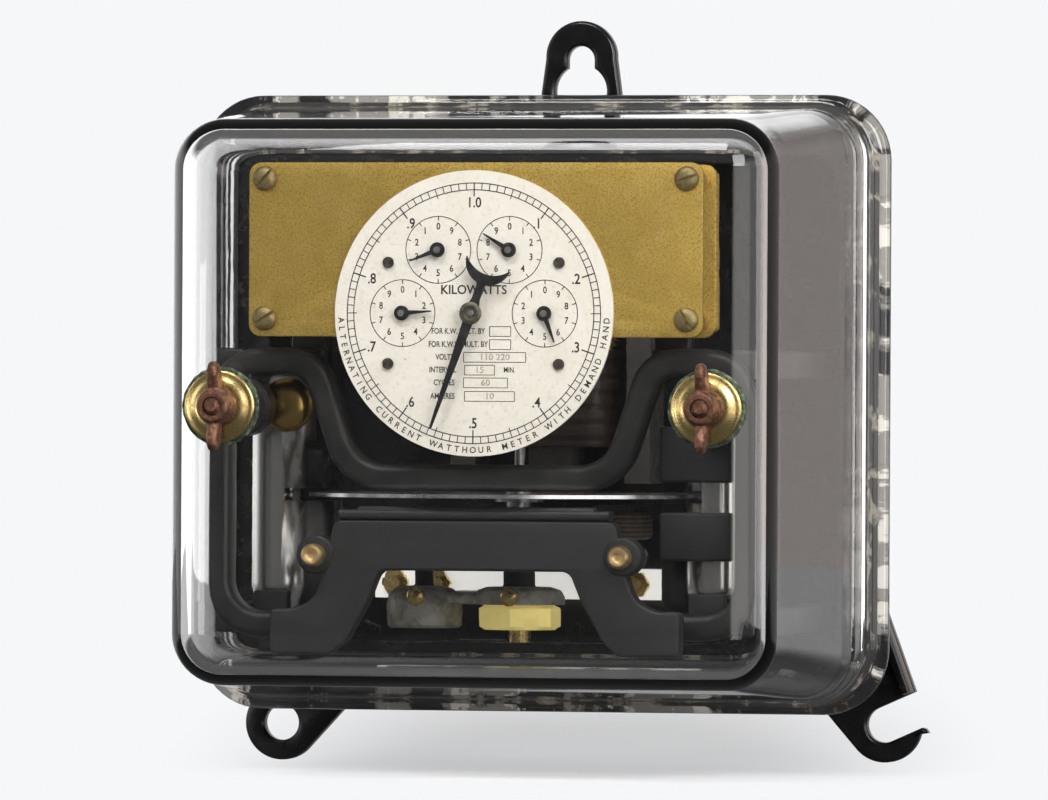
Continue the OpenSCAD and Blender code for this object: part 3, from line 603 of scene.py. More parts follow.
def wear_group() -> Tree:
    """Outer edges rubbed bare: Amount widens the wear and Size is the size of its gaps in mm."""
    group = EffectGroup(Effect.WEAR, {"Size": 3.0, "Amount": 0.5}, "Mask")
    shade, given = group.shade, group.given
    shape = shade.node("ShaderNodeNewGeometry")
    edge = shade.ramp(shape.outputs["Pointiness"], 0.52, 0.6)
    noise = shade.node("ShaderNodeTexNoise", Detail=6.0, Roughness=0.7)
    group.sized(noise)
    level = shade.math("SUBTRACT", 0.8, shade.math("MULTIPLY", given["Amount"], 0.5))
    gaps = shade.math("MULTIPLY", shade.math("SUBTRACT", noise.outputs[0], level), 14.0, clamp=True)
    return group.finish(shade.math("MULTIPLY", edge, gaps, clamp=True))


def dust_group() -> Tree:
    """Specks and a film of dust, thicker on what faces up: Size is in mm, Amount its strength."""
    group = EffectGroup(Effect.DUST, {"Size": 1.0, "Amount": 0.3}, "Mask")
    shade, given = group.shade, group.given
    shape = shade.node("ShaderNodeNewGeometry")
    up = shade.math("ADD", shade.ramp(shade.axes(shape.outputs["Normal"])[2], 0.1, 0.9), 0.25)
    cells = shade.node("ShaderNodeTexVoronoi", Randomness=1.0)
    group.sized(cells)
    specks = shade.math("SUBTRACT", 1.0, shade.ramp(cells.outputs["Distance"], 0.05, 0.14))
    film = shade.node("ShaderNodeTexNoise", Scale=0.2, Detail=8.0, Roughness=0.75)
    shade.link(given["Place"], film.inputs["Vector"])
    haze = shade.math("MULTIPLY", shade.ramp(film.outputs[0], 0.4, 0.75), 0.35)
    both = shade.math("MULTIPLY", shade.math("ADD", specks, haze), up)
    return group.finish(shade.math("MULTIPLY", both, given["Amount"], clamp=True))


def grain_group() -> Tree:
    """Height of a cast or brushed-on skin: Size is the size of its lumps in mm."""
    group = EffectGroup(Effect.GRAIN, {"Size": 1.0, "Coarse": 0.5}, "Height")
    shade, given = group.shade, group.given
    fine = shade.node("ShaderNodeTexNoise", Detail=5.0, Roughness=0.6)
    coarse = shade.node("ShaderNodeTexNoise", Detail=2.0)
    for noise, share in ((fine, 1.0), (coarse, 0.16)):
        group.sized(noise, share=share)
    lumps = shade.math("MULTIPLY", coarse.outputs[0], given["Coarse"])
    return group.finish(shade.math("ADD", fine.outputs[0], lumps))


GROUP_MAKERS: dict[Effect, Callable[[], Tree]] = {
    Effect.PATCHES: patches_group,
    Effect.SCRATCHES: scratches_group,
    Effect.WEAR: wear_group,
    Effect.DUST: dust_group,
    Effect.GRAIN: grain_group,
}


def effect(shade: Shade, kind: Effect, place: Socket, **values: float) -> Socket:
    """Places a shared effect in a material.

    Args:
        shade: The material's tree.
        kind: Which effect.
        place: Where the surface is, in millimetres.
        values: Its numbers by input name.

    Returns:
        The effect's output.
    """
    tree = bpy.data.node_groups.get(kind.value) or GROUP_MAKERS[kind]()
    made = shade.node("ShaderNodeGroup")
    made.node_tree = tree
    shade.link(place, made.inputs["Place"])
    for key, value in values.items():
        made.inputs[key].default_value = value
    return made.outputs[0]


# ---------------------------------------------------------------- finishes


def blank_material(name: str) -> tuple[Material, Shade, Socket, Node]:
    """A material with a Principled shader and the surface's place in millimetres.

    Args:
        name: Name of the material.

    Returns:
        The material, a Shade on its tree, the place and the shader.
    """
    made = bpy.data.materials.new(name)
    made.use_nodes = True
    shade = Shade(made.node_tree)
    surface = made.node_tree.nodes["Principled BSDF"]
    where = shade.node("ShaderNodeTexCoord")
    place = shade.mapped(where.outputs["Object"], Scale=(1 / MM, 1 / MM, 1 / MM))
    return made, shade, place, surface


def raise_surface(shade: Shade, height: Socket, strength: float, surface: Node) -> None:
    """Bumps a shader by a height, with a strength from 0 to 1."""
    bump = shade.node("ShaderNodeBump", Strength=strength, Distance=0.0004)
    shade.link(height, bump.inputs["Height"])
    shade.link(bump.outputs[0], surface.inputs["Normal"])


@dataclass(frozen=True)
class Dress:
    """What a surface is dressed in. Sizes are in millimetres."""

    name: str

    def material(self) -> Material:
        """The dress as a material, made once.

        Returns:
            The material.
        """
        kept = bpy.data.materials.get(self.name)
        if kept:
            return kept
        made, shade, place, surface = blank_material(self.name)
        self.wire(shade, place, surface)
        return made

    def wire(self, shade: Shade, place: Socket, surface: Node) -> None:
        """Wires up the material.

        Args:
            shade: The material's tree.
            place: Where the surface is, in millimetres.
            surface: The Principled shader.
        """
        raise NotImplementedError


@dataclass(frozen=True)
class Finish(Dress):
    """A painted, metal or plastic surface with its ageing, and a painted glow where glow is set."""

    colour: Colour
    aged: Colour
    metallic: float = 0.0
    roughness: float = 0.4
    aged_roughness: float = 0.55
    patch: float = 7.0
    patch_amount: float = 0.4
    patch_edge: float = 0.2
    second: Colour | None = None
    second_patch: float = 2.0
    second_amount: float = 0.25
    scratch: float = 0.0
    scratch_colour: Colour = (0.6, 0.6, 0.6)
    wear: float = 0.0
    wear_colour: Colour = (0.3, 0.28, 0.26)
    dust: float = 0.15
    grain: float = 1.0
    bump: float = 0.08
    coat: float = 0.0
    # painted glow: emission in the surface's own colour, so the part looks lit though it is no lamp
    glow: float = 0.0

    def wire(self, shade: Shade, place: Socket, surface: Node) -> None:
        """Wires up the layers, the coat, the painted glow and the grain."""
        rough, colour = self.layers(shade, place)
        shade.link(colour, surface.inputs["Base Color"])
        shade.link(rough, surface.inputs["Roughness"])
        surface.inputs["Metallic"].default_value = self.metallic
        surface.inputs["Coat Weight"].default_value = self.coat
        surface.inputs["Coat Roughness"].default_value = 0.12
        # Painted glow: the surface gives off its own colour as light, standing in for light that
        # doesn't reach it.
        surface.inputs["Emission Color"].default_value = (*self.colour, 1.0)
        surface.inputs["Emission Strength"].default_value = self.glow
        height = effect(shade, Effect.GRAIN, place, Size=self.grain)
        raise_surface(shade, height, self.bump, surface)

    def layers(self, shade: Shade, place: Socket) -> tuple[Socket, Socket]:
        """Lays patches, scratches, wear and dust over the colour.

        Args:
            shade: The material's tree.
            place: Where the surface is, in millimetres.

        Returns:
            The roughness and the colour.
        """
        patches = effect(shade, Effect.PATCHES, place, Size=self.patch, Amount=self.patch_amount,
                         Edge=self.patch_edge)
        colour = shade.mix(patches, self.colour, self.aged)
        rough = shade.blend(patches, self.roughness, self.aged_roughness)
        if self.second:
            spots = effect(shade, Effect.PATCHES, place, Size=self.second_patch,
                           Amount=self.second_amount, Edge=0.12)
            colour = shade.mix(spots, colour, self.second)
            rough = shade.blend(spots, rough, min(self.aged_roughness + 0.15, 1.0))
        if self.scratch:
            lines = effect(shade, Effect.SCRATCHES, place, Size=14.0, Amount=self.scratch)
            colour = shade.mix(lines, colour, self.scratch_colour)
            rough = shade.blend(lines, rough, 0.5)
        if self.wear:
            worn = effect(shade, Effect.WEAR, place, Size=3.0, Amount=self.wear)
            colour = shade.mix(worn, colour, self.wear_colour)
        if self.dust:
            dusty = effect(shade, Effect.DUST, place, Size=1.6, Amount=self.dust)
            colour = shade.mix(dusty, colour, DUST_COLOUR)
            rough = shade.blend(dusty, rough, 0.9)
        return rough, colour


@dataclass(frozen=True)
class ClearGlass(Dress):
    """Pressed glass, faintly rippled, with a trace of grey in it."""

    name: str = "pressed glass"
    colour: Colour = (0.965, 0.962, 0.962)
    roughness: float = 0.0
    ripple: float = 0.04

    def wire(self, shade: Shade, place: Socket, surface: Node) -> None:
        """Wires up clear glass with a long ripple."""
        surface.inputs["Base Color"].default_value = (*self.colour, 1.0)
        surface.inputs["Roughness"].default_value = self.roughness
        surface.inputs["IOR"].default_value = GLASS_IOR
        surface.inputs["Transmission Weight"].default_value = 1.0
        drawn = shade.mapped(place, Scale=(1.0, 1.0, 0.12))
        height = effect(shade, Effect.GRAIN, drawn, Size=9.0, Coarse=2.0)
        raise_surface(shade, height, self.ripple, surface)


@dataclass(frozen=True)
class Striped(Dress):
    """A surface of fine parallel lines, as in a winding or a stack of sheets."""

    colour: Colour
    groove: Colour
    along: int
    pitch: float
    metallic: float = 0.0
    roughness: float = 0.5
    bump: float = 0.5

    def wire(self, shade: Shade, place: Socket, surface: Node) -> None:
        """Wires up the lines, their grime and their dust."""
        run = shade.axes(place)[self.along]
        wave = shade.math("SINE", shade.math("MULTIPLY", run, 2 * math.pi / self.pitch))
        lines = shade.ramp(wave, -0.9, 0.2)
        aged = effect(shade, Effect.PATCHES, place, Size=5.0, Amount=0.4, Edge=0.3)
        colour = shade.mix(lines, self.groove, self.colour)
        dirty = shade.mix(shade.math("MULTIPLY", aged, 0.45), colour, self.groove)
        dusty = effect(shade, Effect.DUST, place, Size=1.5, Amount=0.25)
        shade.link(shade.mix(dusty, dirty, DUST_COLOUR), surface.inputs["Base Color"])
        shade.link(shade.blend(aged, self.roughness, self.roughness + 0.2),
                   surface.inputs["Roughness"])
        surface.inputs["Metallic"].default_value = self.metallic
        raise_surface(shade, lines, self.bump, surface)


@dataclass(frozen=True)
class SealRemains(Dress):
    """Old seal under the rim: black paint flaked off a pale ground, with brown spots."""

    name: str = "flaked seal"
    black: Colour = (0.012, 0.012, 0.013)
    pale: Colour = (0.72, 0.69, 0.62)
    brown: Colour = (0.2, 0.11, 0.05)

    def wire(self, shade: Shade, place: Socket, surface: Node) -> None:
        """Wires up the flakes, the ground and the spots."""
        broad = effect(shade, Effect.PATCHES, place, Size=26.0, Amount=0.52, Edge=0.03)
        small = effect(shade, Effect.PATCHES, place, Size=6.5, Amount=0.4, Edge=0.04)
        flaked = shade.math("MULTIPLY", broad, shade.math("ADD", 0.35, small), clamp=True)
        rust = effect(shade, Effect.PATCHES, place, Size=4.0, Amount=0.2, Edge=0.06)
        colour = shade.mix(flaked, self.black, self.pale)
        shade.link(shade.mix(rust, colour, self.brown), surface.inputs["Base Color"])
        shade.link(shade.blend(flaked, 0.3, 0.85), surface.inputs["Roughness"])
        raise_surface(shade, flaked, 0.4, surface)


@dataclass(frozen=True)
class DialFace(Dress):
    """The dial's off-white face, browned a little and spotted."""

    name: str = "dial face"
    white: Colour = (0.8, 0.765, 0.68)
    tan: Colour = (0.62, 0.56, 0.43)
    brown: Colour = (0.3, 0.2, 0.1)

    def wire(self, shade: Shade, place: Socket, surface: Node) -> None:
        """Wires up the browning and the spots."""
        cloud = effect(shade, Effect.PATCHES, place, Size=16.0, Amount=0.35, Edge=0.5)
        grime = effect(shade, Effect.PATCHES, place, Size=1.1, Amount=0.3, Edge=0.16)
        spots = effect(shade, Effect.PATCHES, place, Size=2.1, Amount=0.03, Edge=0.05)
        colour = shade.mix(shade.math("MULTIPLY", cloud, 0.4), self.white, self.tan)
        colour = shade.mix(shade.math("MULTIPLY", grime, 0.5), colour, self.tan)
        shade.link(shade.mix(spots, colour, self.brown), surface.inputs["Base Color"])
        shade.link(shade.blend(cloud, 0.5, 0.62), surface.inputs["Roughness"])
        height = effect(shade, Effect.GRAIN, place, Size=0.6)
        raise_surface(shade, height, 0.06, surface)


JAPAN = Finish(
    "black japan", (0.006, 0.006, 0.007), (0.012, 0.011, 0.01), roughness=0.22, aged_roughness=0.34,
    patch=9.0, patch_amount=0.3, patch_edge=0.4, wear=0.4, wear_colour=(0.13, 0.095, 0.07),
    scratch=0.2, scratch_colour=(0.08, 0.07, 0.065), dust=0.06, grain=1.6, bump=0.05,
)
FRAME_BLACK = Finish(
    "worn frame black", (0.011, 0.0108, 0.0105), (0.02, 0.019, 0.018), roughness=0.3,
    aged_roughness=0.45, patch=8.0, patch_amount=0.4, patch_edge=0.4, wear=0.25,
    wear_colour=(0.1, 0.09, 0.08), dust=0.06, grain=1.6, bump=0.06,
)
DULL_BLACK = Finish(
    "dull black", (0.007, 0.0072, 0.0076), (0.013, 0.013, 0.013), roughness=0.55,
    aged_roughness=0.65, patch=6.0, patch_edge=0.4, dust=0.02, grain=0.9, bump=0.05,
)
PLATE_BRASS = Finish(
    "old plate brass", (0.63, 0.44, 0.105), (0.38, 0.255, 0.055), metallic=0.9, roughness=0.42,
    aged_roughness=0.55, patch=8.0, patch_amount=0.5, patch_edge=0.6, second=(0.3, 0.205, 0.055),
    second_patch=0.55, second_amount=0.42, scratch=0.5, scratch_colour=(0.75, 0.6, 0.28), dust=0.1,
    grain=0.5, bump=0.07,
)
BRIGHT_BRASS = Finish(
    "bright brass", (0.72, 0.54, 0.23), (0.45, 0.31, 0.12), metallic=1.0, roughness=0.26,
    aged_roughness=0.42, patch=3.0, patch_amount=0.3, second=(0.25, 0.2, 0.09), second_patch=1.0,
    second_amount=0.12, dust=0.06, grain=0.5, bump=0.06,
)
KNOB_BRASS = Finish(
    "smoked knob brass", (0.62, 0.42, 0.13), (0.42, 0.28, 0.09), metallic=1.0, roughness=0.2,
    aged_roughness=0.28, patch=6.0, patch_edge=0.6, dust=0.0, grain=2.0, bump=0.01,
)
SCREW_BRASS = Finish(
    "old screw brass", (0.4, 0.31, 0.14), (0.2, 0.15, 0.07), metallic=0.95, roughness=0.36,
    aged_roughness=0.55, patch=1.4, patch_amount=0.45, dust=0.06, grain=0.4, bump=0.1,
)
# Brass of the big nut with a painted glow: it gives off light so its faces look lit.
NUT_BRASS_PAINTED_GLOW = Finish(
    "nut brass with painted glow", (0.95, 0.78, 0.27), (0.8, 0.6, 0.18), metallic=0.55, roughness=0.4,
    aged_roughness=0.5, patch=3.0, patch_amount=0.25, dust=0.03, grain=0.6, bump=0.05, glow=0.3,
)
OLD_BRONZE = Finish(
    "old bronze", (0.2, 0.19, 0.14), (0.1, 0.085, 0.06), metallic=0.9, roughness=0.34,
    aged_roughness=0.5, patch=1.2, patch_amount=0.4, dust=0.04, grain=0.4, bump=0.1,
)
PINK_BRASS = Finish(
    "coppery brass", (0.95, 0.72, 0.38), (0.72, 0.5, 0.24), metallic=1.0, roughness=0.3,
    aged_roughness=0.5, patch=2.0, dust=0.05, grain=0.4, bump=0.12,
)
NUT_BROWN = Finish(
    "corroded nut", (0.24, 0.11, 0.068), (0.11, 0.052, 0.034), metallic=0.7, roughness=0.33,
    aged_roughness=0.6, patch=1.8, patch_amount=0.5, second=(0.42, 0.22, 0.13), second_patch=1.2,
    second_amount=0.3, wear=0.5, wear_colour=(0.62, 0.34, 0.2), dust=0.1, grain=0.45, bump=0.4,
)
VERDIGRIS = Finish(
    "verdigris gasket", (0.06, 0.09, 0.055), (0.2, 0.27, 0.18), roughness=0.8, aged_roughness=0.9,
    patch=1.4, patch_amount=0.45, patch_edge=0.12, second=(0.03, 0.04, 0.03), second_patch=2.2,
    second_amount=0.45, dust=0.1, grain=0.4, bump=0.5,
)
HARD_RUBBER = Finish(
    "hard rubber", (0.02, 0.016, 0.014), (0.05, 0.035, 0.025), roughness=0.5, aged_roughness=0.7,
    patch=4.0, dust=0.2,
)
# White porcelain with a painted glow: it gives off light so the terminal block looks bright though
# it sits in shade.
PORCELAIN_PAINTED_GLOW = Finish(
    "white porcelain with painted glow", (0.86, 0.85, 0.81), (0.78, 0.75, 0.68), roughness=0.2, aged_roughness=0.35,
    patch=8.0, dust=0.1, coat=0.5, glow=0.75,
)
# Painted shade: near black for the magnets' jaws, standing for the shade they sit in behind the
# frame.
JAWS_PAINTED_SHADE = Finish(
    "jaws in painted shade", (0.03, 0.029, 0.028), (0.02, 0.019, 0.018), metallic=0.7, roughness=0.4,
    aged_roughness=0.6, patch=4.0, dust=0.05, grain=0.8, bump=0.1,
)
HAND_BLACK = Finish(
    "blued hand", (0.008, 0.008, 0.009), (0.02, 0.019, 0.018), roughness=0.38, aged_roughness=0.5,
    patch=2.0, dust=0.04, grain=0.4, bump=0.05,
)
DARK_STEEL = Finish(
    "dark steel", (0.13, 0.12, 0.11), (0.07, 0.05, 0.04), metallic=0.9, roughness=0.4,
    aged_roughness=0.6, patch=1.6, patch_amount=0.5, dust=0.06, grain=0.4, bump=0.2,
)
BRIGHT_STEEL = Finish(
    "bright steel", (0.5, 0.49, 0.47), (0.32, 0.3, 0.27), metallic=1.0, roughness=0.32,
    aged_roughness=0.4, patch=2.0, patch_amount=0.3, dust=0.05, grain=0.4, bump=0.06,
)
NICKEL = Finish(
    "nickelled magnet", (0.8, 0.79, 0.76), (0.7, 0.69, 0.65), metallic=1.0, roughness=0.2,
    aged_roughness=0.27, patch=9.0, patch_amount=0.35, patch_edge=0.6, dust=0.03, grain=5.0,
    bump=0.01,
)
GREY_CAST = Finish(
    "grey casting", (0.34, 0.33, 0.28), (0.2, 0.19, 0.15), metallic=0.6, roughness=0.5,
    aged_roughness=0.65, patch=4.0, dust=0.15, grain=0.7, bump=0.3,
)
ALUMINIUM = Finish(
    "disk aluminium", (0.88, 0.89, 0.9), (0.74, 0.74, 0.74), metallic=1.0, roughness=0.2,
    aged_roughness=0.3, patch=14.0, patch_amount=0.35, patch_edge=0.5, scratch=0.3,
    scratch_colour=(0.6, 0.6, 0.6), dust=0.08, grain=0.8, bump=0.03,
)
COPPER = Finish(
    "bare copper", (0.62, 0.28, 0.16), (0.35, 0.14, 0.08), metallic=1.0, roughness=0.35,
    aged_roughness=0.5, patch=2.5, dust=0.08,
)
INK = Finish(
    "printer's ink", (0.018, 0.016, 0.015), (0.06, 0.05, 0.045), roughness=0.6, aged_roughness=0.7,
    patch=0.9, patch_amount=0.35, patch_edge=0.3, dust=0.0, bump=0.0,
)
STAMP = Finish(
    "faded stamp", (0.3, 0.24, 0.2), (0.5, 0.43, 0.35), roughness=0.7, aged_roughness=0.7,
    patch=0.7, patch_amount=0.5, dust=0.0, bump=0.0,
)
FELT = Finish(
    "old felt", (0.03, 0.028, 0.026), (0.3, 0.27, 0.22), roughness=0.9, aged_roughness=0.95,
    patch=6.0, patch_amount=0.35, patch_edge=0.08, grain=0.3, bump=0.5,
)
TAPED_COIL = Striped(
    "varnished tape", (0.03, 0.018, 0.012), (0.01, 0.006, 0.004), along=2, pitch=4.2,
    roughness=0.35, bump=0.35,
)
WOUND_COIL = Striped(
    "covered wire", (0.13, 0.1, 0.065), (0.04, 0.028, 0.018), along=2, pitch=1.2, roughness=0.7,
    bump=0.8,
)
SHEETS = Striped(
    "iron sheets", (0.14, 0.13, 0.12), (0.03, 0.025, 0.02), along=1, pitch=0.7, metallic=0.6,
    roughness=0.5, bump=0.4,
)

CAD_DRESS: dict[str, Dress] = {
    "lead_bushings": HARD_RUBBER, "terminal_block": PORCELAIN_PAINTED_GLOW, "terminal_studs": BRIGHT_BRASS,
    "frame_screws": DARK_STEEL, "potential_core": SHEETS, "current_core": SHEETS,
    "shading_band": COPPER, "jewel_screw": BRIGHT_BRASS, "upper_bearing_bridge": JAPAN,
    "upper_bearing_pin": BRIGHT_STEEL, "register_pillars": BRIGHT_BRASS, "dial_screws": DARK_STEEL,
    "arbor_bridge": PLATE_BRASS, "hand_spring": BRIGHT_BRASS, "cover_studs": NUT_BROWN,
    "disk": ALUMINIUM, "disk_hub": BRIGHT_STEEL, "spindle": BRIGHT_STEEL, "worm": BRIGHT_STEEL,
    "worm_wheel": BRIGHT_BRASS, "drive_arbor": BRIGHT_STEEL, "dial_plate": DialFace(),
}
CAD_DRESS |= {f"wheel_{i}": BRIGHT_BRASS for i in range(1, 5)}
CAD_DRESS |= {f"arbor_{i}": BRIGHT_STEEL for i in range(1, 5)}
CAD_DRESS |= {f"pointer_{i}": HAND_BLACK for i in range(1, 5)}


def settle(piece: Piece, dress: Dress, body: str, nodes: Sequence[str] = ()) -> None:
    """Finishes a piece and ties it to the frame.

    Args:
        piece: The new piece, in place.
        dress: Its finish.
        body: The body that it rides on.
        nodes: The CAD nodes that it stands for.
    """
    piece.data.materials.clear()
    piece.data.materials.append(dress.material())
    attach(piece, body)
    if nodes:
        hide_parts(*nodes)
    LOG.info("piece %s on %s, %d faces", piece.name, body, len(piece.data.polygons))


def dress_frame_nodes() -> None:
    """Gives every CAD node that stays in view its finish."""
    for name, dress in CAD_DRESS.items():
        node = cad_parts[name]
        for slot in node.material_slots:
            slot.material = dress.material()
        if not node.material_slots:
            node.data.materials.append(dress.material())


def node_span(name: str) -> tuple[Vector, Vector]:
    """The lowest and highest x, depth and z of a CAD node, in millimetres."""
    low, high = (Vector(corner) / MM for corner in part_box(name))
    return Vector((low.x, -high.y, low.z)), Vector((high.x, -low.y, high.z))


# ---------------------------------------------------------------- the base


@dataclass
class Base:
    """The cast base: pan, seating flange and three fixing lugs."""

    half_x: float = 82.0
    half_z: float = 72.0
    depth: float = 44.0
    wall: float = 4.0
    floor: float = 4.0
    corner: float = 14.0
    flange: Point = (93.0, 80.5)
    flange_corner: float = 16.0
    flange_thick: float = 3.0
    lug_thick: float = 5.0
    hole: float = 4.9
    lug_radius: float = 10.4
    left: Point = (-84.7, -89.3)
    right: Point = (86.7, -88.0)
    slot_angle: float = 24.0

    def pan(self) -> Piece:
        """The pan with its flange, as one skin from its inside round to its outside.

        Returns:
            The pan.
        """
        inner_x, inner_z = self.half_x - self.wall, self.half_z - self.wall
        flange_x, flange_z = self.flange
        back = self.depth - self.flange_thick
        levels = [
            (inner_x - 3, inner_z - 3, self.corner - 7, self.floor),
            (inner_x - 0.8, inner_z - 0.8, self.corner - 5, self.floor + 0.5),
            (inner_x, inner_z, self.corner - 4, self.floor + 2.5),
            (inner_x, inner_z, self.corner - 4, self.depth - 0.4),
            (inner_x + 0.4, inner_z + 0.4, self.corner - 3.6, self.depth),
            (flange_x - 0.8, flange_z - 0.8, self.flange_corner - 0.8, self.depth),
            (flange_x - 0.2, flange_z - 0.2, self.flange_corner - 0.2, self.depth - 0.3),
            (flange_x, flange_z, self.flange_corner, self.depth - 1.0),
            (flange_x, flange_z, self.flange_corner, back + 1.0),
            (flange_x - 0.3, flange_z - 0.3, self.flange_corner - 0.3, back + 0.3),
            (flange_x - 1.0, flange_z - 1.0, self.flange_corner - 1.0, back),
            (self.half_x + 2.5, self.half_z + 2.2, self.corner + 2, back),
            (self.half_x + 0.7, self.half_z + 0.6, self.corner + 0.6, back - 0.7),
            (self.half_x, self.half_z, self.corner, back - 2.6),
            (self.half_x, self.half_z, self.corner, 2.0),
            (self.half_x - 0.6, self.half_z - 0.6, self.corner - 0.6, 0.5),
            (self.half_x - 2.0, self.half_z - 2.0, self.corner - 2.0, 0.0),
        ]
        built = bmesh.new()
        loft(built, [rounded_ring(*level) for level in levels])
        return from_bmesh("base_pan", built)

    def top_lug(self) -> Piece:
        """The top lug with its keyhole."""
        outline = arc((0, 96), 10.0, -3, 183, 26)
        outline += [(-13.4, 70), (13.4, 70)]
        narrow, wide = 3.8, 7.35
        lean = math.degrees(math.asin(narrow / wide))
        keyhole = arc((0, 86.5), wide, 90 + lean, 450 - lean, 30)
        keyhole += arc((0, 95.2), narrow, 0, 180, 14)
        return plate("lug_top", [outline, keyhole], 0.3, self.lug_thick, 1.1, 4)

    def left_lug(self) -> Piece:
        """The bottom left lug with its round hole."""
        outline = arc(self.left, self.lug_radius, 138, 312, 24)
        outline += [(-55.5, -73), (-55.5, -62), (-80, -52)]
        hole = arc(self.left, self.hole, 0, 350, 35)
        return plate("lug_left", [outline, hole], 0.3, self.lug_thick, 1.1, 4)

    def right_lug(self) -> Piece:
        """The bottom right lug with its open hook and the rib along its edge."""
        lean = math.radians(self.slot_angle)
        along = Vector((math.cos(lean), math.sin(lean)))
        across = Vector((-along.y, along.x)) * self.hole
        middle = Vector(self.right)
        mouth = middle + across + along * 11.6
        outline = [(80.0, -44.0), (86.4, -54.5), (mouth.x, mouth.y)]
        outline += arc(self.right, self.hole, self.slot_angle + 90, self.slot_angle + 270, 18)
        tip = middle - across + along * 9.4
        finger = middle + along * 9.9 - across * 1.42
        outline += [(tip.x, tip.y)]
        outline += [(tip.x + 1.0, tip.y - 0.25), (finger.x + 0.55, finger.y + 0.2)]
        outline += arc(self.right, self.lug_radius, -14, -142, 18)
        outline += [(60.0, -73.0), (60.0, -62.0)]
        hook = plate("lug_right.hook", [outline[::-1]], 0.3, self.lug_thick, 1.0, 4)
        built = bmesh.new()
        rib = [(86.4, -54.5), (mouth.x - 0.1, mouth.y + 0.1)]
        inward = Vector((rib[1][0] - rib[0][0], rib[1][1] - rib[0][1])).normalized()
        shift = Vector((-inward.y, inward.x)) * -1.3
        path = [(px + shift.x, pz + shift.y) for px, pz in rib]
        sweep(built, path, 2.4, 1.0, 11.0, 0.8)
        return merged("lug_right", [hook, from_bmesh("rib", built)])

    def bosses(self) -> Piece:
        """The four bosses that the cores stand on."""
        built = bmesh.new()
        for side in SIDES:
            for x, z, radius in ((24.5, 23.5, 3.0), (16.0, -42.0, 2.8)):
                profile = [(radius + 1.5, 0.0), (radius + 0.4, 0.6), (radius, 1.6), (radius, 15.9)]
                turn(built, profile, (side * x, self.floor, z), steps=24, closed=False)
        return from_bmesh("base_bosses", built)

    def build(self) -> None:
        """Makes the base's pieces."""
        settle(self.pan(), JAPAN, "base", ["base_casting"])
        for piece in (self.top_lug(), self.left_lug(), self.right_lug(), self.bosses()):
            settle(piece, JAPAN, "base")
        low, high = node_span("cover_seal")
        built = bmesh.new()
        rings = []
        for inset, depth in ((0, low.y), (0, high.y), (5.6, high.y), (5.6, low.y)):
            rings.append(rounded_ring(high.x - inset, high.z - inset, self.flange_corner - inset,
                                      depth))
        loft(built, rings, joined=True)
        settle(from_bmesh("felt_seal", built), FELT, "base", ["cover_seal"])


# ---------------------------------------------------------------- the cover


